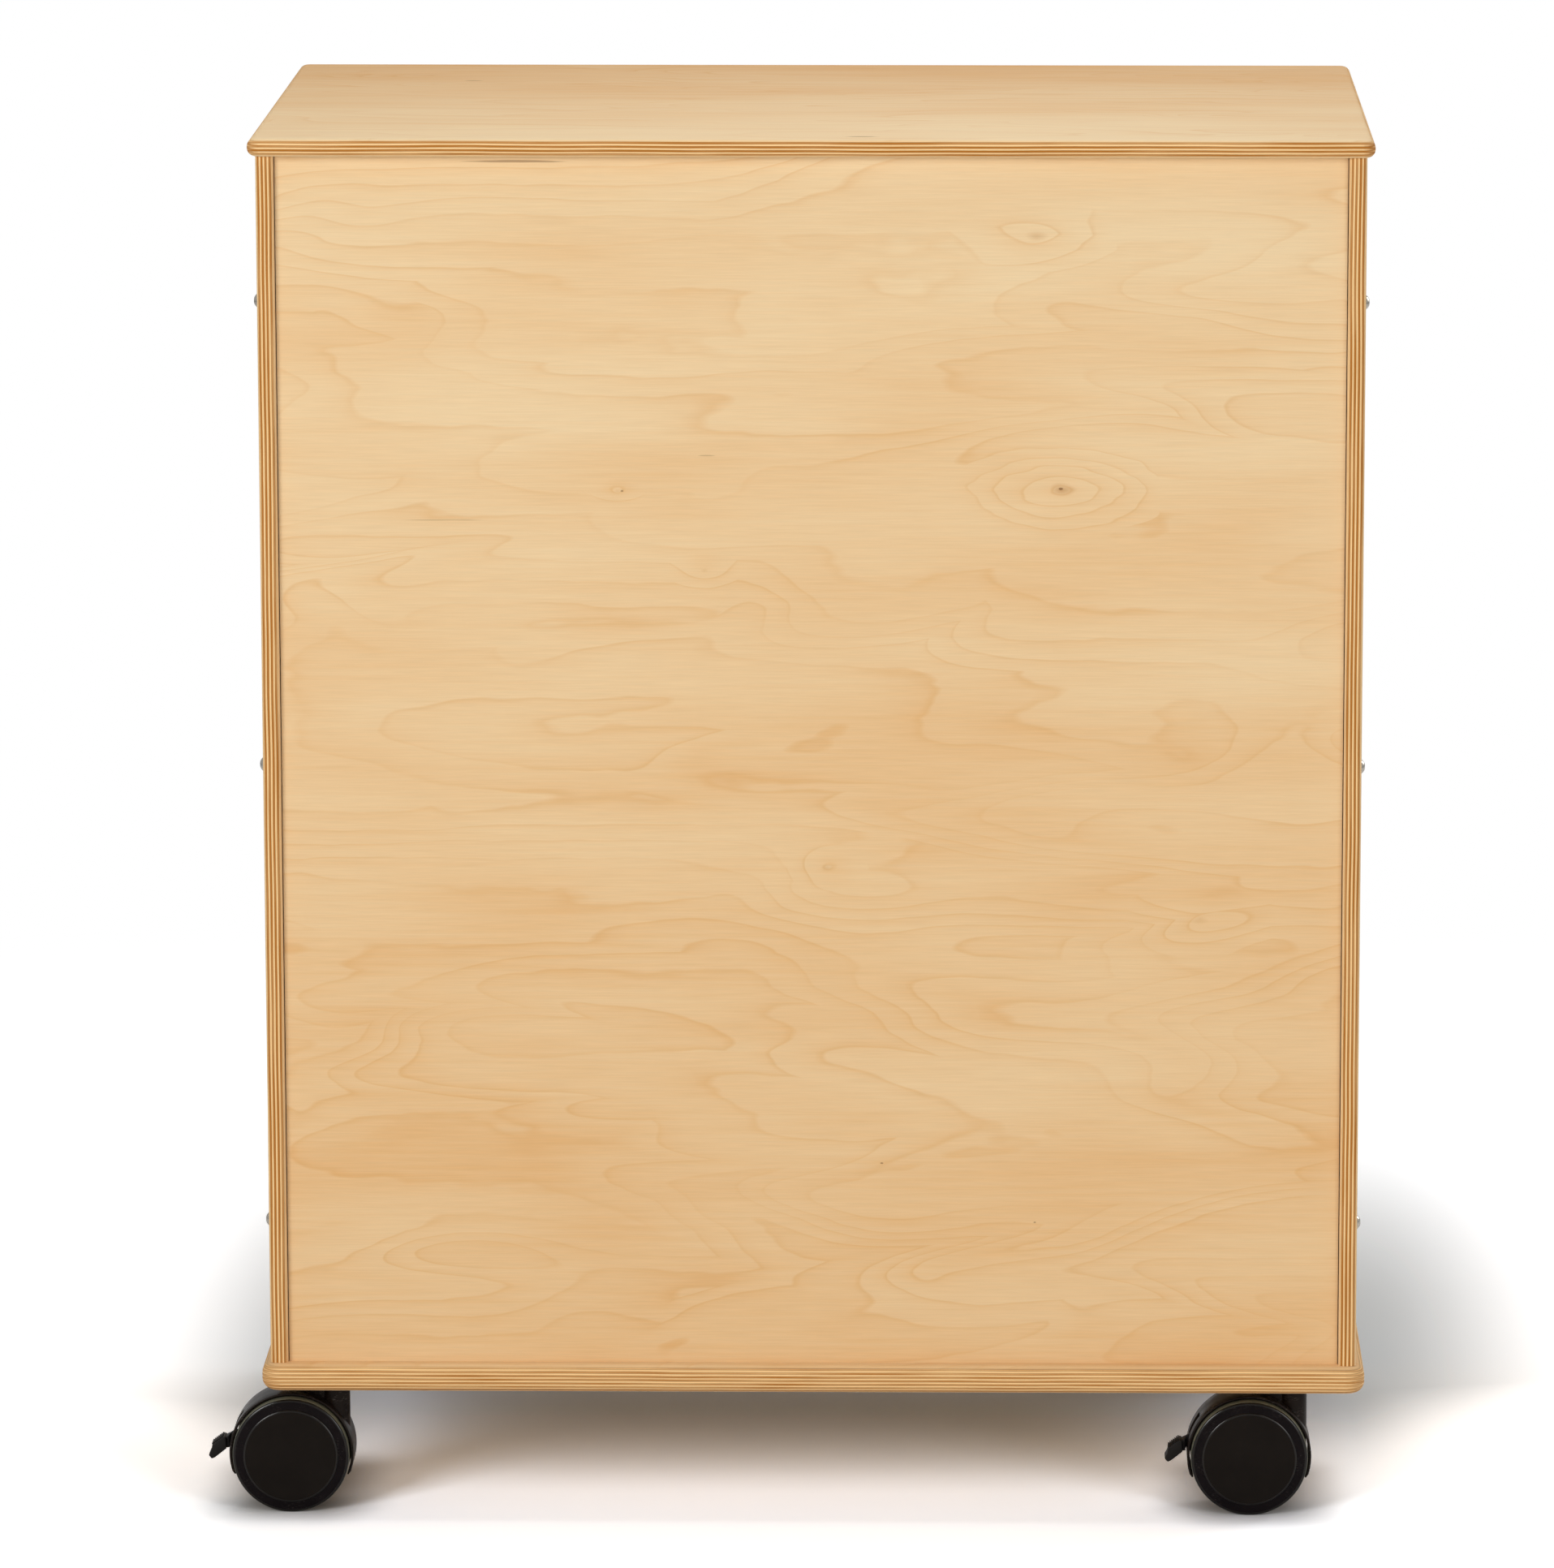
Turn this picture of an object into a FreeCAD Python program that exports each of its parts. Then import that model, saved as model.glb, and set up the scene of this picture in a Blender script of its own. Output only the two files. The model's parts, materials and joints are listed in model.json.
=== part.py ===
import FreeCAD, Part
import math
import os

# A plywood supply cabinet on four braked twin-wheel casters. Millimetres, +Z up.
# -Y is the closed back, +Y is the side with the two doors, and left is -X.
# The origin lies on the floor, under the middle of the whole object's box. The pieces are made
# about the case's own middle plane, and moved along X when they are saved.

# Main sizes of the case
overall_height = 950.0
case_width = 740.0
case_depth = 445.0
side_thickness = 12.0
side_edge_radius = 3.8

# Top
top_thickness = 12.0
top_side_overhang = 5.3
top_end_overhang = 6.0
top_corner_radius = 8.0
top_edge_radius = 5.5

# Base
base_thickness = 19.0
base_side_overhang = 6.0
base_end_overhang = 7.4
base_corner_radius = 13.0
base_edge_radius = 7.5

# Stopped tongues on the ends of the sides, in grooves of the top and base
tongue_thickness = 6.0
tongue_height = 4.0
tongue_setback = 24.0
groove_clearance = 0.1

# Back panel and the six screws that hold it through the sides
back_thickness = 12.0
back_recess = 5.7
back_side_gap = 0.6
screw_head_radius = 5.0
screw_head_height = 2.8
screw_shank_radius = 2.1
screw_length = 34.0
screw_rows = 3
screw_end_margin = 98.25
screw_clearance = 0.05

# Two loose shelves on spade pins
shelf_count = 2
shelf_thickness = 12.0
shelf_side_gap = 1.5
shelf_back_gap = 2.0
shelf_front_setback = 34.0
shelf_edge_radius = 2.0
pin_radius = 2.5
pin_hole_depth = 8.0
pin_hole_clearance = 0.05
pin_tab_reach = 9.0
pin_tab_width = 8.0
pin_tab_thickness = 2.4
pin_hole_inset = 55.0

# Doors, set in between the sides
door_thickness = 15.0
door_setback = 1.0
door_end_gap = 2.5
door_meeting_gap = 3.0
door_edge_radius = 2.0

# Lift-off hinges, two to a door, with the door's knuckle on top of the frame's
leaf_thickness = 1.2
leaf_gap = 0.4
leaf_length = 60.0
leaf_margin = 2.0
knuckle_radius = 3.0
knuckle_count = 2
knuckle_gap = 0.2
hinge_pin_radius = 1.5
hinge_pin_overhang = 1.0
hinge_clearance = 0.05
hinge_face_gap = 0.3
hinge_inset = 110.0

# Flat bar pulls
pull_centres = 96.0
pull_reach = 30.0
pull_width = 10.0
pull_bar = 5.0
pull_outer_radius = 12.0
pull_edge_inset = 32.0
pull_height = 600.0

# Magnetic catches under the top and their strikes on the doors
catch_length = 40.0
catch_depth = 15.0
catch_height = 13.0
catch_inset = 70.0
pole_thickness = 1.2
pole_proud = 1.0
pole_spacing = 6.0
pole_side_margin = 3.0
strike_length = 34.0
strike_height = 12.0
strike_thickness = 1.2
strike_gap = 0.3

# Casters
caster_inset = 47.5
caster_trail = 30.0
caster_width = 47.0
wheel_radius = 40.0
wheel_disc_radius = 31.6
wheel_disc_step = 1.0
wheel_clearance = 0.75
axle_radius = 3.0
axle_wall = 3.5
axle_clearance = 0.05
hood_clearance = 0.8
hood_wall = 1.8
hood_side_reveal = 7.5
hood_drop = 15.0
hood_base_gap = 0.5
neck_radius = 9.65
neck_rise = 8.9
web_thickness = 4.2
axle_boss_radius = 8.0
gusset_width = 12.0
gusset_step = 2.5
stem_radius = 5.0
stem_socket_depth = 18.5
stem_end_gap = 0.5
stem_clearance = 0.05
stem_tip = 1.5
nut_sides = 6
nut_width = 17.0
nut_height = 6.5

# Brake lever of a caster, which turns about the axle beside the web
lever_thickness = 3.2
lever_clearance = 0.3
lever_hub_radius = 7.0
lever_neck_width = 9.0
lever_pad_width = 13.0
lever_rib_count = 7
lever_rib_height = 0.6
lever_rib_width = 0.7

# Outlines of the caster's web, gusset and lever, as seen on a caster that trails to the left.
# Each pair is across and up from the axle, in shares of the hood's outer radius.
web_shares = [
    (0.93, 0.27),
    (0.17, -0.07),
    (-0.17, 0.07),
    (-0.42, 0.88),
    (0.10, 0.97),
    (0.70, 0.66),
]
gusset_far_share = (-0.20, 0.97)
gusset_near_share = (0.30, 0.60)
lever_arm_shares = [
    (-0.05, 0.155),
    (-0.845, 0.289),
    (-0.939, 0.280),
    (-1.073, 0.195),
    (-1.073, 0.052),
    (-1.019, 0.028),
    (-0.972, 0.127),
    (-0.845, 0.122),
    (-0.05, -0.155),
]
lever_neck_shares = [
    (-1.019, 0.229),
    (-1.073, 0.195),
    (-1.073, 0.019),
    (-1.019, 0.024),
]
lever_pad_shares = [
    (-1.073, 0.195),
    (-1.115, 0.212),
    (-1.299, 0.075),
    (-1.308, -0.007),
    (-1.358, -0.092),
    (-1.308, -0.155),
    (-1.256, -0.134),
    (-1.064, 0.019),
]
lever_slot_shares = [(-1.10, 0.047), (-0.73, 0.61)]

# One overrun serves every cut that runs out of a face, and places closer than same_place are one
overrun = 2.0
same_place = 1e-6

# Hood of a caster, and the web and lever that share the room between its wheels
hood_inner_radius = wheel_radius + hood_clearance
hood_outer_radius = hood_inner_radius + hood_wall
hood_half_width = caster_width / 2 - hood_side_reveal
wheels_apart = web_thickness + lever_clearance + lever_thickness + 2 * wheel_clearance
web_span = (wheel_clearance - wheels_apart / 2, wheel_clearance - wheels_apart / 2 + web_thickness)
lever_span = (web_span[1] + lever_clearance, web_span[1] + lever_clearance + lever_thickness)

# Heights
base_bottom = wheel_radius + hood_outer_radius + neck_rise
base_top = base_bottom + base_thickness
top_bottom = overall_height - top_thickness
side_height = top_bottom - base_top

# Depths. The middle of the case lies back from the origin, because the pulls stand out in front.
front_reach = pull_reach - door_setback
case_middle = (base_end_overhang - front_reach) / 2
case_rear = case_middle - case_depth / 2
case_front = case_middle + case_depth / 2
back_rear = case_rear + back_recess
back_front = back_rear + back_thickness
door_front = case_front - door_setback
door_rear = door_front - door_thickness

# Widths
side_outer = case_width / 2
side_inner = side_outer - side_thickness
base_width = case_width + 2 * base_side_overhang
base_depth = case_depth + 2 * base_end_overhang

# Hinge axis and caster places
hinge_gap = 2 * leaf_thickness + leaf_gap
hinge_x = side_inner - hinge_gap / 2
hinge_y = door_front + hinge_face_gap + knuckle_radius
stem_x = base_width / 2 - caster_inset
stem_y = base_depth / 2 - caster_inset
neck_top = base_bottom - hood_base_gap

# The rear left lever reaches past the base, so every piece is saved further right by half of that
lever_tip = -min(across for across, up in lever_pad_shares) * hood_outer_radius
lever_overhang = stem_x + caster_trail + lever_tip - base_width / 2
box_shift = lever_overhang / 2

RIGHT = FreeCAD.Vector(1, 0, 0)
AWAY = FreeCAD.Vector(0, 1, 0)
UP = FreeCAD.Vector(0, 0, 1)
HALF_TURN = 180


def at(x, y, z):
    return FreeCAD.Vector(x, y, z)


def block(x, y, z):
    """A box between the two ends given for each axis."""
    return Part.makeBox(x[1] - x[0], y[1] - y[0], z[1] - z[0], at(x[0], y[0], z[0]))


def rod(radius, start, length, direction):
    return Part.makeCylinder(radius, length, start, direction)


def upright_edges(shape):
    """Straight edges that run up and down."""
    lines = [e for e in shape.Edges if isinstance(e.Curve, Part.Line)]
    return [e for e in lines if abs(e.BoundBox.ZLength - e.Length) < same_place]


def level_edges(shape):
    """Edges that lie in the top or bottom plane of a plate."""
    ends = (shape.BoundBox.ZMin, shape.BoundBox.ZMax)
    flat = [e for e in shape.Edges if e.BoundBox.ZLength < same_place]
    return [e for e in flat if min(abs(e.BoundBox.ZMin - end) for end in ends) < same_place]


def plate(x, y, z, corner_radius, edge_radius):
    """A panel with rounded corners in plan and rounded top and bottom edges."""
    solid = block(x, y, z)
    solid = solid.makeFillet(corner_radius, upright_edges(solid))
    return solid.makeFillet(edge_radius, level_edges(solid))


def outline(points, low, high):
    """A closed outline across X and Z, given thickness between two depths."""
    corners = [at(x, low, z) for x, z in points]
    face = Part.Face(Part.makePolygon(corners + corners[:1]))
    return face.extrude(AWAY * (high - low))


def mirrored(shape):
    """The same piece on the other side of the middle plane."""
    return shape.mirror(at(0, 0, 0), RIGHT)


def save(name, shapes):
    """Writes one node, which may be a group of separate solids."""
    shape = shapes[0] if len(shapes) == 1 else Part.makeCompound(shapes)
    shape.translated(at(box_shift, 0, 0)).exportStep(os.path.join("parts", name + ".step"))


def tongues(clearance):
    """The right side's two tongues, or with a clearance the grooves that take them."""
    middle = side_outer - side_thickness / 2
    x = (middle - tongue_thickness / 2 - clearance, middle + tongue_thickness / 2 + clearance)
    y = (case_rear + tongue_setback - clearance, case_front - tongue_setback + clearance)
    low = block(x, y, (base_top - tongue_height - clearance, base_top))
    high = block(x, y, (top_bottom, top_bottom + tongue_height + clearance))
    return low, high


def screw_heights():
    """Heights of the screws in each side, spread evenly between its end margins."""
    spacing = (side_height - 2 * screw_end_margin) / (screw_rows - 1)
    return [base_top + screw_end_margin + row * spacing for row in range(screw_rows)]


def screw_axis_y():
    return back_rear + back_thickness / 2


def shelf_bottoms():
    """Undersides of the shelves, which share the inside height into equal bays."""
    bay = (side_height - shelf_count * shelf_thickness) / (shelf_count + 1)
    return [base_top + bay * (n + 1) + shelf_thickness * n for n in range(shelf_count)]


def shelf_pin_places():
    """Front and back rows of pins, one pair for each shelf."""
    rows = (back_front + pin_hole_inset, door_rear - shelf_front_setback - pin_hole_inset)
    return [(y, bottom - pin_radius) for bottom in shelf_bottoms() for y in rows]


def make_top():
    x = side_outer + top_side_overhang
    y = (case_rear - top_end_overhang, case_front + top_end_overhang)
    top = plate((-x, x), y, (top_bottom, overall_height), top_corner_radius, top_edge_radius)
    groove = tongues(groove_clearance)[1]
    return top.cut([groove, mirrored(groove)])


def make_base():
    """The thick bottom panel, bored through for the four caster stems."""
    x = base_width / 2
    y = (case_rear - base_end_overhang, case_front + base_end_overhang)
    base = plate((-x, x), y, (base_bottom, base_top), base_corner_radius, base_edge_radius)
    groove = tongues(groove_clearance)[0]
    start = at(0, 0, base_bottom - overrun)
    bore = rod(stem_radius + stem_clearance, start, base_thickness + 2 * overrun, UP)
    bores = [placed(bore, stem_place, 0) for stem_place in caster_places()]
    return base.cut([groove, mirrored(groove)] + bores)


def make_right_side():
    """A side panel with rounded upright edges, tongues, screw holes and blind pin holes."""
    side = block((side_inner, side_outer), (case_rear, case_front), (base_top, top_bottom))
    side = side.makeFillet(side_edge_radius, upright_edges(side))
    side = side.fuse(tongues(0)).removeSplitter()
    start = at(side_inner - overrun, 0, 0)
    screw_bore = rod(screw_shank_radius + screw_clearance, start, side_thickness + 2 * overrun, RIGHT)
    pin_bore = rod(pin_radius + pin_hole_clearance, start, pin_hole_depth + overrun, RIGHT)
    bores = [screw_bore.translated(at(0, screw_axis_y(), z)) for z in screw_heights()]
    bores += [pin_bore.translated(at(0, y, z)) for y, z in shelf_pin_places()]
    return side.cut(bores)


def make_back():
    """The back panel, set in between the sides, with the screws' threads biting into its edges."""
    x = side_inner - back_side_gap
    return block((-x, x), (back_rear, back_front), (base_top, top_bottom))


def make_side_screw(z):
    """A dome-head screw that goes in from the right."""
    radius, height = screw_head_radius, screw_head_height
    ball = (radius ** 2 + height ** 2) / (2 * height)
    rim = math.asin(radius / ball)
    half = at(ball * math.sin(rim / 2), 0, height - ball + ball * math.cos(rim / 2))
    dome = Part.Arc(at(0, 0, height), half, at(radius, 0, 0)).toShape()
    under = Part.LineSegment(at(radius, 0, 0), at(0, 0, 0)).toShape()
    axis = Part.LineSegment(at(0, 0, 0), at(0, 0, height)).toShape()
    head = Part.Face(Part.Wire([dome, under, axis])).revolve(at(0, 0, 0), UP, 2 * HALF_TURN)
    screw = head.fuse(rod(screw_shank_radius, at(0, 0, 0), screw_length, -UP))
    screw.rotate(at(0, 0, 0), AWAY, HALF_TURN / 2)
    screw.translate(at(side_outer, screw_axis_y(), z))
    return screw


def make_shelf(bottom):
    x = side_inner - shelf_side_gap
    y = (back_front + shelf_back_gap, door_rear - shelf_front_setback)
    shelf = block((-x, x), y, (bottom, bottom + shelf_thickness))
    front = [e for e in level_edges(shelf) if abs(e.BoundBox.YMin - y[1]) < same_place]
    return shelf.makeFillet(shelf_edge_radius, front)


def make_shelf_pin(y, z):
    """A round pin in the right side with a flat spade under the shelf."""
    pin = rod(pin_radius, at(side_inner + pin_hole_depth, y, z), pin_hole_depth, -RIGHT)
    tab_x = (side_inner - pin_tab_reach, side_inner)
    tab_y = (y - pin_tab_width / 2, y + pin_tab_width / 2)
    tab = block(tab_x, tab_y, (z + pin_radius - pin_tab_thickness, z + pin_radius))
    return pin.fuse(tab)


def knuckle_spans():
    """Low and high end of each knuckle along a hinge, counted from the hinge's middle."""
    pitch = leaf_length / knuckle_count
    start = -leaf_length / 2
    return [(start + n * pitch + knuckle_gap / 2, start + (n + 1) * pitch - knuckle_gap / 2)
            for n in range(knuckle_count)]


def hinge_heights():
    low = base_top + door_end_gap + hinge_inset
    return (low, top_bottom - door_end_gap - hinge_inset)


def make_leaf(z, side, first):
    """One leaf of a right-hand hinge. side is +1 on the case and -1 on the door."""
    near = leaf_gap / 2
    x = sorted((hinge_x + side * near, hinge_x + side * (near + leaf_thickness)))
    clear_y = hinge_y - knuckle_radius - hinge_face_gap
    end_y = door_rear + leaf_margin
    half = leaf_length / 2
    leaf = block(x, (end_y, clear_y), (z - half, z + half))
    for low, high in knuckle_spans()[first::2]:
        tab = block(x, (clear_y, hinge_y), (z + low, z + high))
        ring = rod(knuckle_radius, at(hinge_x, hinge_y, z + low), high - low, UP)
        leaf = leaf.fuse([tab, ring])
    bore = rod(hinge_pin_radius + hinge_clearance, at(hinge_x, hinge_y, z - leaf_length), 2 * leaf_length, UP)
    return leaf.cut(bore).removeSplitter()


def make_hinge_pin(z):
    half = leaf_length / 2 + hinge_pin_overhang
    return rod(hinge_pin_radius, at(hinge_x, hinge_y, z - half), 2 * half, UP)


def door_ends():
    return (base_top + door_end_gap, top_bottom - door_end_gap)


def make_right_door():
    x = (door_meeting_gap / 2, side_inner - hinge_gap)
    door = block(x, (door_rear, door_front), door_ends())
    front = [e for e in door.Edges if abs(e.BoundBox.YMin - door_front) < same_place]
    return door.makeFillet(door_edge_radius, front)


def pull_x():
    return door_meeting_gap / 2 + pull_edge_inset


def make_pull():
    """A D-shaped pull bent from flat bar, with its feet on the right door's face."""
    x = (pull_x() - pull_width / 2, pull_x() + pull_width / 2)
    half = pull_centres / 2 + pull_bar / 2
    outer = block(x, (door_front, door_front + pull_reach), (pull_height - half, pull_height + half))
    inner = block(x, (door_front - overrun, door_front + pull_reach - pull_bar),
                  (pull_height - half + pull_bar, pull_height + half - pull_bar))
    outer = bend(outer, pull_outer_radius)
    inner = bend(inner, pull_outer_radius - pull_bar)
    return outer.cut(inner)


def bend(solid, radius):
    """Rounds the two edges that run across the pull at its outer end."""
    outermost = solid.BoundBox.YMax
    ends = [e for e in solid.Edges if e.BoundBox.YMin > outermost - same_place]
    across = [e for e in ends if e.BoundBox.ZLength < same_place]
    return solid.makeFillet(radius, across)


def catch_front():
    """Where the pole plates end, just short of the strike."""
    return door_rear - strike_thickness - strike_gap


def catch_x():
    return (catch_inset - catch_length / 2, catch_inset + catch_length / 2)


def pole_heights():
    """Low end of each of the two pole plates."""
    middle = top_bottom - catch_height / 2
    return [middle + side * pole_spacing / 2 - pole_thickness / 2 for side in (-1, 1)]


def make_poles():
    low, high = catch_x()
    x = (low + pole_side_margin, high - pole_side_margin)
    y = (catch_front() - catch_depth, catch_front())
    return [block(x, y, (z, z + pole_thickness)) for z in pole_heights()]


def make_catch():
    """The moulded body under the top that holds two steel pole plates."""
    y = (catch_front() - pole_proud - catch_depth, catch_front() - pole_proud)
    body = block(catch_x(), y, (top_bottom - catch_height, top_bottom))
    return body.cut(make_poles())


def make_strike():
    x = (catch_inset - strike_length / 2, catch_inset + strike_length / 2)
    middle = top_bottom - catch_height / 2
    z = (middle - strike_height / 2, middle + strike_height / 2)
    return block(x, (door_rear - strike_thickness, door_rear), z)


def caster_places():
    """Stem axes at the four corners: rear left, rear right, front left, front right."""
    return [(sx * stem_x, case_middle + sy * stem_y) for sy in (-1, 1) for sx in (-1, 1)]


def along_y(radius, x, z, low, high):
    """A round bar along Y between two depths."""
    return rod(radius, at(x, low, z), high - low, AWAY)


def from_axle(shares):
    """Places across and up, from shares of the hood's radius about the axle."""
    return [(-caster_trail + across * hood_outer_radius, wheel_radius + up * hood_outer_radius)
            for across, up in shares]


def make_hood():
    """The moulded hood: a fender round both wheels, a web between them, and a neck for the stem."""
    x, z = -caster_trail, wheel_radius
    fender = along_y(hood_outer_radius, x, z, -hood_half_width, hood_half_width)
    below = block((x - 2 * hood_outer_radius, x + 2 * hood_outer_radius),
                  (-caster_width, caster_width), (z - 2 * hood_outer_radius, z - hood_drop))
    neck = rod(neck_radius, at(0, 0, z), neck_top - z, UP)
    shell = fender.cut(below).fuse([neck, make_gusset()])
    shell = shell.cut(along_y(hood_inner_radius, x, z, -caster_width, caster_width))
    web = outline(from_axle(web_shares), *web_span)
    boss = along_y(axle_boss_radius, x, z, *web_span)
    hood = shell.fuse([web, boss])
    (left, low), (right, high) = from_axle(lever_slot_shares)
    half_slot = lever_neck_width / 2 + lever_clearance
    slot = block((left, right), (-half_slot, half_slot), (low, high))
    socket_low = neck_top - stem_socket_depth
    socket = rod(stem_radius + stem_clearance, at(0, 0, socket_low), stem_socket_depth + overrun, UP)
    axle_hole = along_y(axle_radius, x, z, web_span[0] - overrun, web_span[1] + overrun)
    return hood.cut([slot, socket, axle_hole]).removeSplitter()


def make_gusset():
    """The rib that ties the neck back to the crown of the fender."""
    far, near = from_axle([gusset_far_share, gusset_near_share])
    points = [(0, neck_top - gusset_step), far, near, (0, near[1])]
    return outline(points, -gusset_width / 2, gusset_width / 2)


def make_axle():
    reach = caster_width / 2 - axle_wall
    return along_y(axle_radius, -caster_trail, wheel_radius, -reach, reach)


def make_wheel(side):
    """A wheel with a flat disc that stands out from its rim, and a blind bore. side is -1 or +1."""
    inner = wheels_apart / 2
    outer = caster_width / 2
    rim = outer - wheel_disc_step
    profile = [(0, inner), (wheel_radius, inner), (wheel_radius, rim),
               (wheel_disc_radius, rim), (wheel_disc_radius, outer), (0, outer)]
    corners = [at(r, y, 0) for r, y in profile]
    wheel = Part.Face(Part.makePolygon(corners + corners[:1])).revolve(at(0, 0, 0), AWAY, 2 * HALF_TURN)
    bore = along_y(axle_radius + axle_clearance, 0, 0, inner - overrun, outer - axle_wall + axle_clearance)
    wheel = wheel.cut(bore)
    wheel.translate(at(-caster_trail, 0, wheel_radius))
    return wheel if side > 0 else wheel.mirror(at(0, 0, 0), AWAY)


def make_lever():
    """The brake lever: a hub on the axle, an arm out of the hood's slot, and a ribbed toe pad."""
    x, z = -caster_trail, wheel_radius
    hub = along_y(lever_hub_radius, x, z, *lever_span)
    arm = outline(from_axle(lever_arm_shares), *lever_span)
    neck = outline(from_axle(lever_neck_shares), -lever_neck_width / 2, lever_neck_width / 2)
    pad = outline(from_axle(lever_pad_shares), -lever_pad_width / 2, lever_pad_width / 2)
    lever = hub.fuse([arm, neck, pad] + lever_ribs())
    bore = along_y(axle_radius + axle_clearance, x, z, lever_span[0] - overrun, lever_span[1] + overrun)
    return lever.cut(bore).removeSplitter()


def lever_ribs():
    """Grip ribs across the pad's upper face, spread evenly along it."""
    (x0, z0), (x1, z1) = from_axle(lever_pad_shares[1:3])
    length = math.hypot(x1 - x0, z1 - z0)
    along = at((x1 - x0) / length, 0, (z1 - z0) / length)
    outward = at(along.z, 0, -along.x)
    pitch = length / lever_rib_count
    half_width = lever_pad_width / 2
    ribs = []
    for n in range(lever_rib_count):
        middle = at(x0, 0, z0) + along * (pitch * (n + 1 / 2))
        reach = along * (lever_rib_width / 2)
        corners = [middle - reach - outward * lever_rib_height, middle - reach + outward * lever_rib_height,
                   middle + reach + outward * lever_rib_height, middle + reach - outward * lever_rib_height]
        corners = [c - AWAY * half_width for c in corners]
        face = Part.Face(Part.makePolygon(corners + corners[:1]))
        ribs.append(face.extrude(AWAY * lever_pad_width))
    return ribs


def make_stem():
    """The steel stem, from the neck's socket up through the base and its nut."""
    low = neck_top - stem_socket_depth + stem_end_gap
    high = base_top + nut_height + stem_tip
    return rod(stem_radius, at(0, 0, low), high - low, UP)


def make_nut():
    """The hexagon nut that clamps a stem down on the base."""
    step = 2 * math.pi / nut_sides
    corner = nut_width / 2 / math.cos(step / 2)
    angles = [n * step for n in range(nut_sides)]
    points = [at(corner * math.cos(a), corner * math.sin(a), base_top) for a in angles]
    nut = Part.Face(Part.makePolygon(points + points[:1])).extrude(UP * nut_height)
    return nut.cut(rod(stem_radius, at(0, 0, base_top - overrun), nut_height + 2 * overrun, UP))


def placed(shape, stem_place, turn):
    """A copy of a caster piece, turned about the stem and moved to its corner."""
    copy = shape.copy()
    copy.rotate(at(0, 0, 0), UP, turn)
    copy.translate(at(*stem_place, 0))
    return copy


def save_casters():
    """All four are alike. The front left one trails to the right, and the others to the left."""
    pieces = {
        "hood": make_hood(),
        "axle": make_axle(),
        "outer_wheel": make_wheel(-1),
        "inner_wheel": make_wheel(1),
        "brake_lever": make_lever(),
    }
    corners = ["rear_left", "rear_right", "front_left", "front_right"]
    for corner, stem_place in zip(corners, caster_places()):
        turn = HALF_TURN if corner == "front_left" else 0
        for name, shape in pieces.items():
            save(corner + "_" + name, [placed(shape, stem_place, turn)])
    save("caster_stems", [placed(make_stem(), stem_place, 0) for stem_place in caster_places()])
    save("caster_nuts", [placed(make_nut(), stem_place, 0) for stem_place in caster_places()])


def save_case():
    save("top_panel", [make_top()])
    save("base_panel", [make_base()])
    save("right_side", [make_right_side()])
    save("left_side", [mirrored(make_right_side())])
    save("back_panel", [make_back()])
    lower, upper = [make_shelf(bottom) for bottom in shelf_bottoms()]
    save("lower_shelf", [lower])
    save("upper_shelf", [upper])
    screws = [make_side_screw(z) for z in screw_heights()]
    save("side_screws", screws + [mirrored(screw) for screw in screws])
    pins = [make_shelf_pin(y, z) for y, z in shelf_pin_places()]
    save("shelf_pins", pins + [mirrored(pin) for pin in pins])
    save("catch_bodies", [make_catch(), mirrored(make_catch())])
    poles = make_poles()
    save("catch_poles", poles + [mirrored(pole) for pole in poles])


def save_doors():
    """The right door and its hinges are made, and the left ones are their mirror images."""
    nodes = {
        "hinge_frame_leaves": [make_leaf(z, 1, 0) for z in hinge_heights()],
        "hinge_door_leaves": [make_leaf(z, -1, 1) for z in hinge_heights()],
        "hinge_pins": [make_hinge_pin(z) for z in hinge_heights()],
        "door": [make_right_door()],
        "pull": [make_pull()],
        "strike": [make_strike()],
    }
    for name, shapes in nodes.items():
        save("right_" + name, shapes)
        save("left_" + name, [mirrored(shape) for shape in shapes])


os.makedirs("parts", exist_ok=True)
save_case()
save_doors()
save_casters()
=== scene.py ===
import json
import math

import bmesh
import bpy
from bmesh.types import BMEdge, BMFace, BMVert
from mathutils import Matrix, Vector


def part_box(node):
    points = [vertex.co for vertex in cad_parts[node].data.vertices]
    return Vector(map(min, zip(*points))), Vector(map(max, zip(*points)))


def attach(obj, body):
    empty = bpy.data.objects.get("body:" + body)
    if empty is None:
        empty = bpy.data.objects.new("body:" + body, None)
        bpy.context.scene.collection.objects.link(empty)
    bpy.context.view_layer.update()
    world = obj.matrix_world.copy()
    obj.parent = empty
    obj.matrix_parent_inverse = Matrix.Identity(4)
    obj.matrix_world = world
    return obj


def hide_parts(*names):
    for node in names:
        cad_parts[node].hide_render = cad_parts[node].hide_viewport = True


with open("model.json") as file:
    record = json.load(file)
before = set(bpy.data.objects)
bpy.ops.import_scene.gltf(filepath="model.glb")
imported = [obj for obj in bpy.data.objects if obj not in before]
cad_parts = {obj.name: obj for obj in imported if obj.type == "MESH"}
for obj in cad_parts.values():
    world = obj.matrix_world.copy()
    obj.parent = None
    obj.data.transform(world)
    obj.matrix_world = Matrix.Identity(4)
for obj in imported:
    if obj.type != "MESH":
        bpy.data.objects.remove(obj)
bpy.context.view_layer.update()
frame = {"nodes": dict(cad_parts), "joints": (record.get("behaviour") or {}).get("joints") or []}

nodes = frame["nodes"]
joints = {joint["name"]: joint for joint in frame["joints"]}


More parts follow.
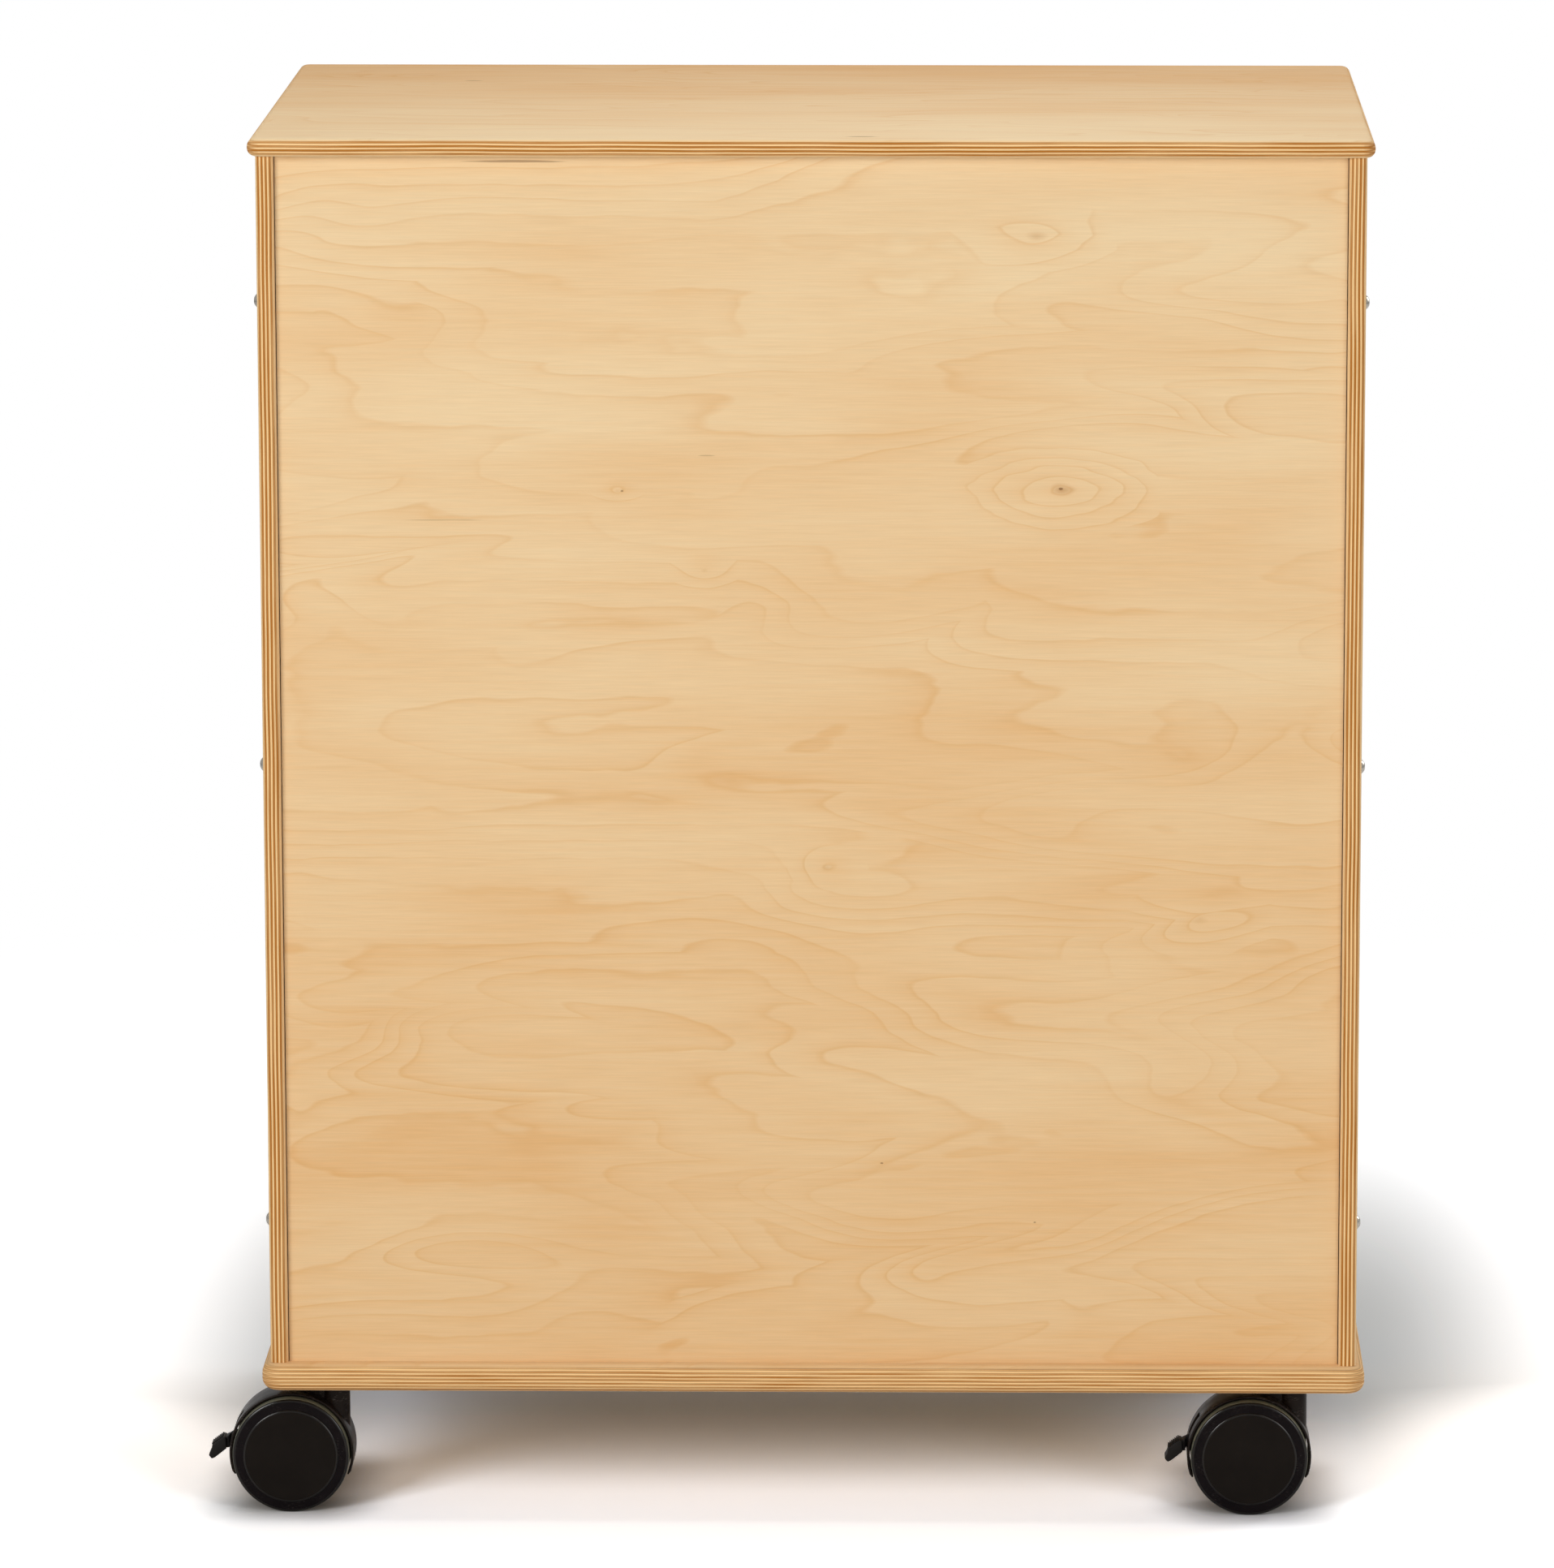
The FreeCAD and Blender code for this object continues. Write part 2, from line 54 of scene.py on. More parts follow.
# Base panel
# A 19 mm birch plywood board, cut to size, its corners and edges routed round, then lacquered clear.
# Its fifteen plies show as stripes all round the edge, light along the grain and dark across it.
mm = 0.001
axes = "XYZ"
base_plies = 15
face_pale = "#eed2a6"
face_warm = "#dea25c"
ring_line = "#d0903f"
ply_long_grain = "#f6cd92"
ply_end_grain = "#b47432"
glue_brown = "#6a3e1c"
weld = 0.002
noise_span = (0.3, 0.7)
fleck_depth = 5.0
pith_dark = 0.12
press_wave = 0.22
glue_strength = 0.62
ring_folding = 1.5
rings_up_board = 24.0
ring_swing = 17.0
ring_waver = 0.3
knot_waver = 0.35
ring_fade = 2.2
ring_warmth = 0.17
ring_line_strength = 0.16
fibre_size = (30, 0.9, 0.9)
cross_fibre_size = (0.9, 30, 0.9)
fleck_waver = 0.8
lacquer_gloss = (0.44, 0.56)
fibre_relief = 0.2


def linear(colour):
    """An sRGB hex colour as the linear values that a shader takes."""
    values = [int(colour[n:n + 2], 16) / 255 for n in (1, 3, 5)]
    return [v / 12.92 if v <= 0.04045 else ((v + 0.055) / 1.055) ** 2.4 for v in values] + [1]


def add(tree, kind, inputs=(), **settings):
    """Adds a node. Inputs are given in order or by name, and a node or an output is linked."""
    node = tree.nodes.new("ShaderNode" + kind)
    for name, value in settings.items():
        setattr(node, name, value)
    sockets = [socket for socket in node.inputs if socket.enabled]
    pairs = inputs.items() if isinstance(inputs, dict) else enumerate(inputs)
    for key, value in pairs:
        socket = sockets[key] if isinstance(key, int) else node.inputs[key]
        if isinstance(value, bpy.types.Node):
            value = next(output for output in value.outputs if output.enabled)
        if isinstance(value, bpy.types.NodeSocket):
            tree.links.new(value, socket)
        elif value is not None:
            socket.default_value = value
    return node


def blank_material(name):
    """A material with its node tree and its one surface shader."""
    material = bpy.data.materials.new(name)
    material.use_nodes = True
    return material, material.node_tree, material.node_tree.nodes["Principled BSDF"]


def plywood(name, node, across, grain, plies, knots=(), shift=0.0, painted_falloff=0.0, marks=(), shine=0.06,
            contrast=1.0, lip=0.0):
    """Clear-lacquered birch plywood for one board, as a solid pattern that every cut face shows.

    across is the axis through its plies, and grain the axis along its face veneers. The veneers are
    peeled off the log, so a growth ring shows as a faint wavy line, sharp on one side. A knot is
    given by its place from the board's middle, along and across the grain, its size and its rings.
    shift starts each board elsewhere in the pattern, and painted_falloff is how much warmer and
    darker its low edge is painted than its high one: painted shade for the light that falls off
    across the board. A mark is a dark fleck, given by its place from the board's middle, its length
    and height and its strength. contrast is how dark the end grain is, and lip darkens the glue line
    under the top face ply and the plies just above the bottom face ply. The lacquer is satin: it
    gives a soft sheen, as strong as shine says, and no mirror.
    """
    material, tree, shader = blank_material(name)
    low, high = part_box(node)
    through, along = axes.index(across), axes.index(grain)
    sideways = 3 - through - along
    place = add(tree, "TexCoord")
    point = add(tree, "SeparateXYZ", [place.outputs["Object"]])
    normal = add(tree, "SeparateXYZ", [place.outputs["Normal"]])
    facing = [add(tree, "Math", [normal.outputs[n]], operation="ABSOLUTE") for n in range(3)]

    # A place on the board for a noise whose lumps have these sizes along, across and through it
    def stretched(lengths):
        scale = [0, 0, 0]
        scale[along], scale[sideways], scale[through] = [1 / (length * mm) for length in lengths]
        moved = add(tree, "VectorMath", [place.outputs["Object"], (shift, shift, shift)], operation="ADD")
        return add(tree, "VectorMath", [moved, scale], operation="MULTIPLY")

    # Which ply a point lies in, with the slight waves that pressing leaves in them
    wave = add(tree, "TexNoise", [stretched((90, 60, 400)), 1, 1], noise_dimensions="3D")
    wave_height = add(tree, "MapRange", [wave, *noise_span, -press_wave, press_wave])
    depth = add(tree, "MapRange", [point.outputs[through], low[through], high[through], 0.0, plies])
    waved = add(tree, "Math", [depth, wave_height], operation="ADD")
    inside = add(tree, "Clamp", [waved, 0.02, plies - 0.02])
    ply = add(tree, "Math", [inside], operation="FLOOR")
    crossed = add(tree, "Math", [ply, 2.0], operation="MODULO")
    end_grain = add(tree, "Mix", [crossed, facing[along], facing[sideways]])

    # Glue lines between the plies
    fraction = add(tree, "Math", [inside], operation="FRACT")
    from_middle = add(tree, "Math", [fraction, 0.5], operation="SUBTRACT")
    to_joint = add(tree, "Math", [from_middle], operation="ABSOLUTE")
    glue = add(tree, "MapRange", [to_joint, 0.34, 0.5, 0.0, glue_strength])
    past_first = add(tree, "Math", [inside, 0.5], operation="GREATER_THAN")
    before_last = add(tree, "Math", [inside, plies - 0.5], operation="LESS_THAN")
    glue = add(tree, "Math", [glue, past_first], operation="MULTIPLY")
    glue = add(tree, "Math", [glue, before_last], operation="MULTIPLY")

    # Growth rings of a face veneer: level lines of a long slope, bent by folds into flames
    folds = add(tree, "TexNoise", [stretched((260, 62, 1000)), 1, 0.6], noise_dimensions="3D")
    fold = add(tree, "Math", [folds, 0.5], operation="SUBTRACT")
    fold = add(tree, "Math", [fold], operation="ABSOLUTE")
    grain_way = [0, 0, 0]
    grain_way[along] = ring_folding
    bent = add(tree, "VectorMath", [grain_way, fold], operation="SCALE")
    bent = add(tree, "VectorMath", [stretched((520, 150, 1000)), bent], operation="ADD")
    field = add(tree, "TexNoise", [bent, 1, 1, 0.5, 2, 0.4], noise_dimensions="3D")
    slope = add(tree, "Math", [point.outputs[sideways], rings_up_board], operation="MULTIPLY")
    rings = add(tree, "Math", [field, ring_swing, slope], operation="MULTIPLY_ADD")
    small = add(tree, "TexNoise", [stretched((34, 10, 1000)), 1, 1], noise_dimensions="3D")
    rings = add(tree, "Math", [small, ring_waver, rings], operation="MULTIPLY_ADD")
    middle = (low + high) / 2
    pith = around = None
    for x, z, length, height, levels in knots:
        centre = [0, 0, 0]
        centre[along], centre[sideways] = middle[along] + x * mm, middle[sideways] + z * mm
        scale = [0, 0, 0]
        scale[along], scale[sideways] = 2 / (length * mm), 2 / (height * mm)
        offset = add(tree, "VectorMath", [place.outputs["Object"], centre], operation="SUBTRACT")
        offset = add(tree, "VectorMath", [offset, scale], operation="MULTIPLY")
        away = add(tree, "VectorMath", [offset], operation="LENGTH").outputs["Value"]
        away = add(tree, "Math", [small, knot_waver, away], operation="MULTIPLY_ADD")
        hill = add(tree, "MapRange", [away, 0.0, 1.4, levels, 0.0])
        rings = add(tree, "Math", [rings, hill], operation="ADD")
        dot = add(tree, "MapRange", [away, 0.17, 0.34, pith_dark * levels, 0.0])
        near = add(tree, "MapRange", [away, 0.9, 1.7, 1.0, 0.0])
        pith = dot if pith is None else add(tree, "Math", [pith, dot], operation="MAXIMUM")
        around = near if around is None else add(tree, "Math", [around, near], operation="MAXIMUM")
    ring = add(tree, "Math", [rings], operation="FRACT")
    early = add(tree, "MapRange", [ring, 0.93, 1.0, 1.0, 0.0])
    late = add(tree, "Math", [ring, ring_fade], operation="POWER")
    late = add(tree, "Math", [late, early], operation="MULTIPLY")
    edge = add(tree, "MapRange", [ring, 0.82, 0.94, 0.0, 1.0])
    edge = add(tree, "Math", [edge, early], operation="MULTIPLY")

    # Tone: broad patches, streaks along the grain, and the fine ripple that peeling leaves
    patch = add(tree, "TexNoise", [stretched((300, 70, 1000)), 1, 2], noise_dimensions="3D")
    streak = add(tree, "TexNoise", [stretched((120, 3.5, 40)), 1, 3], noise_dimensions="3D")
    faded = add(tree, "TexNoise", [stretched((160, 60, 900)), 1, 1], noise_dimensions="3D")
    strength = add(tree, "MapRange", [faded, 0.36, 0.62, 0.3, 1.0])
    if around is not None:
        strength = add(tree, "Math", [strength, around], operation="MAXIMUM")
    ripple = add(tree, "TexNoise", [stretched(fibre_size), 1, 2], noise_dimensions="3D")
    tone = add(tree, "MapRange", [patch, *noise_span, 0.12, 0.4])
    warm = add(tree, "Math", [late, strength], operation="MULTIPLY")
    warm = add(tree, "Math", [warm, ring_warmth, tone], operation="MULTIPLY_ADD")
    streaks = add(tree, "MapRange", [streak, 0.3, 0.75, -0.05, 0.09])
    warm = add(tree, "Math", [warm, streaks], operation="ADD")
    # Painted shade: one edge of the board is painted warmer and darker than the other, for the light that
    # falls off across it
    span = (low[sideways], high[sideways])
    warmer = add(tree, "MapRange", [point.outputs[sideways], *span, painted_falloff, -painted_falloff])
    warm = add(tree, "Math", [warm, warmer], operation="ADD")
    veneer = add(tree, "Mix", [warm, linear(face_pale), linear(face_warm)], data_type="RGBA")
    line = add(tree, "Math", [edge, strength], operation="MULTIPLY")
    line = add(tree, "Math", [line, ring_line_strength], operation="MULTIPLY")
    veneer = add(tree, "Mix", [line, veneer, linear(ring_line)], data_type="RGBA")
    if pith is not None:
        veneer = add(tree, "Mix", [pith, veneer, linear(ply_end_grain)], data_type="RGBA")

    # The cut plies, each streaked or speckled as its own grain runs
    even, odd = stretched(fibre_size), stretched(cross_fibre_size)
    fibre_place = add(tree, "Mix", [crossed, even, odd], data_type="VECTOR")
    fibre = add(tree, "TexNoise", [fibre_place, 1, 2], noise_dimensions="3D")
    long_tone = add(tree, "TexNoise", [stretched((70, 70, 2.2)), 1, 2], noise_dimensions="3D")
    edge_tone = add(tree, "MapRange", [long_tone, *noise_span, -0.22, 0.22])
    darkness = add(tree, "Math", [end_grain, contrast], operation="MULTIPLY")
    darkness = add(tree, "Math", [darkness, edge_tone], operation="ADD")
    cut = add(tree, "Mix", [darkness, linear(ply_long_grain), linear(ply_end_grain)], data_type="RGBA")
    on_face = add(tree, "MapRange", [facing[through], 0.72, 0.93, 0.0, 1.0])
    off_face = add(tree, "Math", [1.0, on_face], operation="SUBTRACT")
    if lip:
        to_top_joint = add(tree, "Math", [waved, plies - 1.0], operation="SUBTRACT")
        to_top_joint = add(tree, "Math", [to_top_joint], operation="ABSOLUTE")
        lip_line = add(tree, "MapRange", [to_top_joint, 0.25, 0.5, lip, 0.0])
        glue = add(tree, "Math", [glue, lip_line], operation="MAXIMUM")
        # The plies just above the bottom face are made darker along the lower rounding
        low_ply = add(tree, "MapRange", [waved, 2.3, 2.0, 0.0, lip])
        above_face = add(tree, "MapRange", [waved, 0.3, 0.5, 0.0, 1.0])
        low_ply = add(tree, "Math", [low_ply, above_face], operation="MULTIPLY")
        cut = add(tree, "Mix", [low_ply, cut, linear(ply_end_grain)], data_type="RGBA")
    glue = add(tree, "Math", [glue, off_face], operation="MULTIPLY")
    cut = add(tree, "Mix", [glue, cut, linear(glue_brown)], data_type="RGBA")
    colour = add(tree, "Mix", [on_face, cut, veneer], data_type="RGBA")
    for *spot, length, height, strength in marks:
        centre = [middle[n] + spot[n] * mm for n in range(3)]
        scale = [2 / (fleck_depth * mm)] * 3
        scale[along], scale[sideways] = 2 / (length * mm), 2 / (height * mm)
        offset = add(tree, "VectorMath", [place.outputs["Object"], centre], operation="SUBTRACT")
        offset = add(tree, "VectorMath", [offset, scale], operation="MULTIPLY")
        away = add(tree, "VectorMath", [offset], operation="LENGTH").outputs["Value"]
        away = add(tree, "Math", [fibre, fleck_waver, away], operation="MULTIPLY_ADD")
        fleck = add(tree, "MapRange", [away, 0.95, 1.35, strength, 0.0])
        colour = add(tree, "Mix", [fleck, colour, linear(glue_brown)], data_type="RGBA")
    grainy = add(tree, "Mix", [on_face, fibre, ripple])
    light = add(tree, "MapRange", [grainy, *noise_span, 0.965, 1.025])
    colour = add(tree, "HueSaturation", {"Color": colour, "Value": light})

    # Satin lacquer, thinner and duller on the cut edges, over wood that is not quite flat
    rough = add(tree, "MapRange", [grainy, *noise_span, *lacquer_gloss])
    bump = add(tree, "Bump", {"Strength": 0.12, "Distance": fibre_relief * mm, "Height": grainy})
    tree.links.new(colour.outputs["Color"], shader.inputs["Base Color"])
    tree.links.new(rough.outputs["Result"], shader.inputs["Roughness"])
    tree.links.new(bump.outputs["Normal"], shader.inputs["Normal"])
    shader.inputs["Specular IOR Level"].default_value = shine
    return material


def dress(node, material):
    """Gives a construction node its finish."""
    nodes[node].data.materials.clear()
    nodes[node].data.materials.append(material)


dress("base_panel", plywood("birch_plywood_base", "base_panel", "Z", "X", base_plies, shift=1.3,
                            contrast=0.75, lip=0.75))


# Side panels
# Two 12 mm plywood boards, standing on the base and let into it and the top with stopped tongues.
# Their upright edges are rounded over, and the nine plies run as stripes from end to end.
side_plies = 9
left_marks = [(-4.0, -218, 367, 20, 1.6, 0.9), (-1.0, -219, 221, 7, 3.0, 0.7),
              (2.0, -218, -20, 14, 2.0, 0.4)]
dress("left_side", plywood("birch_plywood_left_side", "left_side", "X", "Z", side_plies, shift=2.1,
                           marks=left_marks))
dress("right_side", plywood("birch_plywood_right_side", "right_side", "X", "Z", side_plies, shift=3.7))


# Back panel
# A 12 mm plywood board set in between the sides, with its grain running across the cabinet.
# Its wide face veneer shows wavy growth rings and the round of a small knot, right of the middle.
back_knots = [(167, 189, 118, 56, 4.8), (-72, 134, 40, 22, 1.6), (10, -69, 46, 26, 1.6),
              (150, 360, 90, 40, 2.2), (262, -104, 84, 44, 2.2), (-130, 188, 30, 16, 1.2)]
back_marks = [(-197, -6, 410, 74, 2.2, 0.5), (47, -6, -274, 2.6, 1.6, 0.6),
              (151, -6, -315, 2.2, 1.4, 0.5), (-127, -6, 188, 2.6, 1.6, 0.6),
              (-70, -6, 212, 14, 1.2, 0.3), (-245, -6, 168, 60, 1.0, 0.25),
              (167, -6, 190, 3.6, 2.2, 0.7)]
# Its lower edge is painted warmer and darker than its top: painted shade for the light that falls off
# down the board
dress("back_panel", plywood("birch_plywood_back", "back_panel", "Y", "X", side_plies, back_knots,
                            shift=0.35, painted_falloff=0.13, marks=back_marks))


# Side screws
# Six nickel-plated steel screws with domed heads and a six-sided socket, three through each side.
# They go into the edges of the back panel and hold it.
screw_socket = 3.0
screw_socket_depth = 1.8
side_head = 10.0
side_head_height = 2.8
head_steps = 48
dome_steps = 6
head_foot = 0.2
cross_arm = 0.3


def nickel_plate(name, colour, roughness):
    """Bright nickel plate on steel: a warm metal with faint wipe marks in its gloss."""
    material, tree, shader = blank_material(name)
    place = add(tree, "TexCoord")
    scale = [1 / (0.8 * mm)] * 3
    fine = add(tree, "VectorMath", [place.outputs["Object"], scale], operation="MULTIPLY")
    marks = add(tree, "TexNoise", [fine, 1, 3], noise_dimensions="3D")
    tint = add(tree, "MapRange", [marks, *noise_span, 0.93, 1.04])
    shade = add(tree, "HueSaturation", {"Color": linear(colour), "Value": tint})
    gloss = add(tree, "MapRange", [marks, *noise_span, roughness - 0.06, roughness + 0.08])
    tree.links.new(shade.outputs["Color"], shader.inputs["Base Color"])
    tree.links.new(gloss.outputs["Result"], shader.inputs["Roughness"])
    shader.inputs["Metallic"].default_value = 1.0
    return material


def only(kind, geometry):
    """The vertices, edges or faces of what a bmesh operator gives back."""
    return [g for g in geometry if isinstance(g, kind)]


def keep_mesh(bm, name, materials, smooth_below=32.0):
    """Turns a finished bmesh into a piece, smooth except where faces meet at more than an angle."""
    bmesh.ops.remove_doubles(bm, verts=bm.verts, dist=weld * mm)
    inner = [face for face in bm.faces if all(len(edge.link_faces) > 2 for edge in face.edges)]
    bmesh.ops.delete(bm, geom=inner, context="FACES_ONLY")
    bmesh.ops.recalc_face_normals(bm, faces=bm.faces)
    limit = math.radians(smooth_below)
    for edge in bm.edges:
        edge.smooth = edge.is_manifold and edge.calc_face_angle() < limit
    for face in bm.faces:
        face.smooth = True
    mesh = bpy.data.meshes.new(name)
    bm.to_mesh(mesh)
    bm.free()
    for material in materials:
        mesh.materials.append(material)
    piece = bpy.data.objects.new(name, mesh)
    bpy.context.scene.collection.objects.link(piece)
    return piece


def screw_head(bm, diameter, height, socket, depth, matrix, crossed=False):
    """A domed screw head, with a six-sided or a crossed socket, up Z from the matrix's origin."""
    radius, rise = diameter / 2 * mm, height * mm
    ball = (radius ** 2 + rise ** 2) / (2 * rise)
    inner = socket / 2 * mm / math.cos(math.pi / 6)
    profile = []
    for n in range(dome_steps + 1):
        r = radius + (inner - radius) * n / dome_steps
        profile.append(Vector((r, 0, rise - ball + math.sqrt(ball ** 2 - r ** 2))))
    foot = -head_foot * mm
    profile = [Vector((0, 0, foot)), Vector((radius, 0, foot))] + profile
    verts = [bm.verts.new(p) for p in profile]
    edges = [bm.edges.new(pair) for pair in zip(verts, verts[1:])]
    before = set(bm.verts) - set(verts)
    bmesh.ops.spin(bm, geom=verts + edges, axis=(0, 0, 1), cent=(0, 0, 0), steps=head_steps,
                   angle=2 * math.pi, use_merge=True)
    new = [v for v in bm.verts if v not in before]
    rim = [v for v in new if abs(math.hypot(v.co.x, v.co.y) - inner) < 0.001 * mm]
    for v in rim:
        angle = math.atan2(v.co.y, v.co.x)
        turn = angle % (math.pi / 3) - math.pi / 6
        reach = math.cos(math.pi / 6) / math.cos(turn)
        if crossed:
            turn = abs((angle + math.pi / 4) % (math.pi / 2) - math.pi / 4)
            reach = 1 / math.cos(turn) if math.tan(turn) < cross_arm else cross_arm / math.sin(turn)
        v.co.xy *= reach
    rim_edges = [e for e in {e for v in rim for e in v.link_edges} if all(v in rim for v in e.verts)]
    wall = bmesh.ops.extrude_edge_only(bm, edges=rim_edges)["geom"]
    floor = only(BMVert, wall)
    bmesh.ops.translate(bm, verts=floor, vec=(0, 0, -depth * mm))
    bmesh.ops.holes_fill(bm, edges=[e for e in only(BMEdge, wall) if all(v in floor for v in e.verts)])
    new = [v for v in bm.verts if v not in before]
    bmesh.ops.transform(bm, matrix=matrix, verts=new)


nickel = nickel_plate("bright_nickel_plate", "#c9c3b8", 0.24)
screws_low, screws_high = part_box("side_screws")
side_faces = {-1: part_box("left_side")[0].x, 1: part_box("right_side")[1].x}
screw_y = (screws_low.y + screws_high.y) / 2
first_screw, last_screw = screws_low.z + side_head / 2 * mm, screws_high.z - side_head / 2 * mm
bm = bmesh.new()
for side, side_face in side_faces.items():
    for row in range(3):
        z = first_screw + (last_screw - first_screw) * row / 2
        spot = Matrix.Translation((side_face, screw_y, z))
        turn = Matrix.Rotation(side * math.pi / 2, 4, "Y")
        screw_head(bm, side_head, side_head_height, screw_socket, screw_socket_depth, spot @ turn)
side_screw_heads = keep_mesh(bm, "side_screw_heads", [nickel])
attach(side_screw_heads, "case")
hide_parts("side_screws")


# Shelves and their pins
# Two loose 12 mm plywood shelves, each lying on four spade pins of satin nickel-plated steel.
# The pins' round ends push into blind holes in the sides.
for shelf, shift in (("lower_shelf", 4.4), ("upper_shelf", 5.9)):
    dress(shelf, plywood("birch_plywood_" + shelf, shelf, "Z", "X", side_plies, shift=shift))
satin_nickel = nickel_plate("satin_nickel_plate", "#b9b6b0", 0.36)
pin_softening = 0.4
sharp_above = 40


def eased(node, name, body, material, softening):
    """Stands for a construction node with a copy whose sharp outer edges are eased by a small round."""
    bm = bmesh.new()
    bm.from_mesh(nodes[node].data)
    bmesh.ops.remove_doubles(bm, verts=bm.verts, dist=weld * mm)
    bmesh.ops.dissolve_limit(bm, angle_limit=math.radians(1), verts=bm.verts, edges=bm.edges)
    corner = math.radians(sharp_above)
    sharp = [e for e in bm.edges if e.is_manifold and e.is_convex and e.calc_face_angle() > corner]
    bmesh.ops.bevel(bm, geom=sharp, offset=softening * mm, segments=2, profile=0.5, affect="EDGES",
                    material=-1, clamp_overlap=True)
    piece = keep_mesh(bm, name, [material])
    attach(piece, body)
    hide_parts(node)


eased("shelf_pins", "shelf_pins_eased", "case", satin_nickel, pin_softening)


# Top panel
# A 12 mm plywood board that laps over the sides and back, glued down on the sides' tongues.
# Its edge is rounded nearly to a bullnose, which spreads the outer plies into broad bands.
top_marks = [(34, -208, 6, 26, 5.0, 0.5), (-245, 120, 6, 16, 5.0, 0.4)]
# Its far edge is painted warmer and darker than its near one: painted shade for the light that falls off
# across the top
dress("top_panel", plywood("birch_plywood_top", "top_panel", "Z", "X", side_plies, shift=7.2, painted_falloff=-0.3,
                           marks=top_marks, shine=0.03))


# Magnetic catches
# A moulded ABS body, screwed up under the top, holds two steel pole plates. They pull on a steel
# strike that two small screws hold on the door.
catch_softening = 0.8
scuff_glint_lengths = (2.4, 9.0, 0.5)
shades_per_metre = 55
scuff_glints_per_metre = 70
mould_relief = 0.05
scuff_and_glint_grey = "#77706a"
strike_softening = 0.3
catch_screw = 6.0
catch_screw_height = 1.4
catch_socket = 3.2
catch_socket_depth = 1.0
strike_screw = 4.5
strike_screw_proud = 0.15
strike_socket = 2.2
strike_screw_spacing = 22.0
catch_screw_spacing = 28.0


def moulded_plastic(name, colour, roughness, grit, variation=0.06, shine=0.5, scuffs_and_glints=0.0):
    """Moulded plastic: an even colour, the fine texture of its mould, and pale scuff marks that are
    partly painted glints.
    """
    material, tree, shader = blank_material(name)
    place = add(tree, "TexCoord")
    scale = [1 / (grit * mm)] * 3
    fine = add(tree, "VectorMath", [place.outputs["Object"], scale], operation="MULTIPLY")
    grain = add(tree, "TexNoise", [fine, 1, 3], noise_dimensions="3D")
    wide = add(tree, "TexNoise", [place.outputs["Object"], shades_per_metre, 2], noise_dimensions="3D")
    tint = add(tree, "MapRange", [wide, *noise_span, 1 - variation, 1 + variation])
    shade = add(tree, "HueSaturation", {"Color": linear(colour), "Value": tint})
    gloss = add(tree, "MapRange", [wide, *noise_span, roughness - 0.05, roughness + 0.07])
    bump = add(tree, "Bump", {"Strength": 0.15, "Distance": mould_relief * mm, "Height": grain})
    # Pale scuff marks, partly painted highlight: they also stand in for glints on the glossy plastic
    if scuffs_and_glints:
        scale = [1 / (length * mm) for length in scuff_glint_lengths]
        long = add(tree, "VectorMath", [place.outputs["Object"], scale], operation="MULTIPLY")
        glinting_scuff = add(tree, "TexNoise", [long, 1, 4, 0.6], noise_dimensions="3D")
        where = add(tree, "TexNoise", [place.outputs["Object"], scuff_glints_per_metre, 1], noise_dimensions="3D")
        glinting_scuff = add(tree, "MapRange", [glinting_scuff, 0.56, 0.68, 0.0, scuffs_and_glints])
        where = add(tree, "MapRange", [where, 0.5, 0.62, 0.0, 1.0])
        glinting_scuff = add(tree, "Math", [glinting_scuff, where], operation="MULTIPLY")
        shade = add(tree, "Mix", [glinting_scuff, shade, linear(scuff_and_glint_grey)], data_type="RGBA")
        gloss = add(tree, "Math", [glinting_scuff, 0.4, gloss], operation="MULTIPLY_ADD")
    shade = next(output for output in shade.outputs if output.enabled)
    tree.links.new(shade, shader.inputs["Base Color"])
    tree.links.new(gloss.outputs[0], shader.inputs["Roughness"])
    tree.links.new(bump.outputs["Normal"], shader.inputs["Normal"])
    shader.inputs["IOR"].default_value = 1.53
    shader.inputs["Specular IOR Level"].default_value = shine
    return material


abs_cream = moulded_plastic("moulded_abs_cream", "#d8d2c4", 0.5, 0.4)
eased("catch_bodies", "catch_bodies_eased", "case", abs_cream, catch_softening)
dress("catch_poles", satin_nickel)
catch_low, catch_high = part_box("catch_bodies")
catch_bm = bmesh.new()
for side in ("left", "right"):
    eased(side + "_strike", side + "_strike_eased", side + "_door", satin_nickel,
          strike_softening)
    low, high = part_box(side + "_strike")
    middle = (low + high) / 2
    inward, downward = Matrix.Rotation(math.pi / 2, 4, "X"), Matrix.Rotation(math.pi, 4, "X")
    bm = bmesh.new()
    for end in (-1, 1):
        spot = Vector((middle.x + end * strike_screw_spacing / 2 * mm, low.y, middle.z))
        screw_head(bm, strike_screw, strike_screw_proud, strike_socket, strike_screw_proud,
                   Matrix.Translation(spot) @ inward, crossed=True)
        catch_y = (catch_low.y + catch_high.y) / 2
        spot = Vector((middle.x + end * catch_screw_spacing / 2 * mm, catch_y, catch_low.z))
        screw_head(catch_bm, catch_screw, catch_screw_height, catch_socket, catch_socket_depth,
                   Matrix.Translation(spot) @ downward, crossed=True)
    heads = keep_mesh(bm, side + "_strike_screw_heads", [satin_nickel])
    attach(heads, side + "_door")
catch_screw_heads = keep_mesh(catch_bm, "catch_screw_heads", [satin_nickel])
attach(catch_screw_heads, "case")


# Doors
# Two 15 mm plywood doors set in between the sides, with the grain running up and down.
door_plies = 11
for side, shift in (("left", 8.6), ("right", 9.8)):
    door = side + "_door"
    dress(door, plywood("birch_plywood_" + door, door, "Y", "Z", door_plies, shift=shift))


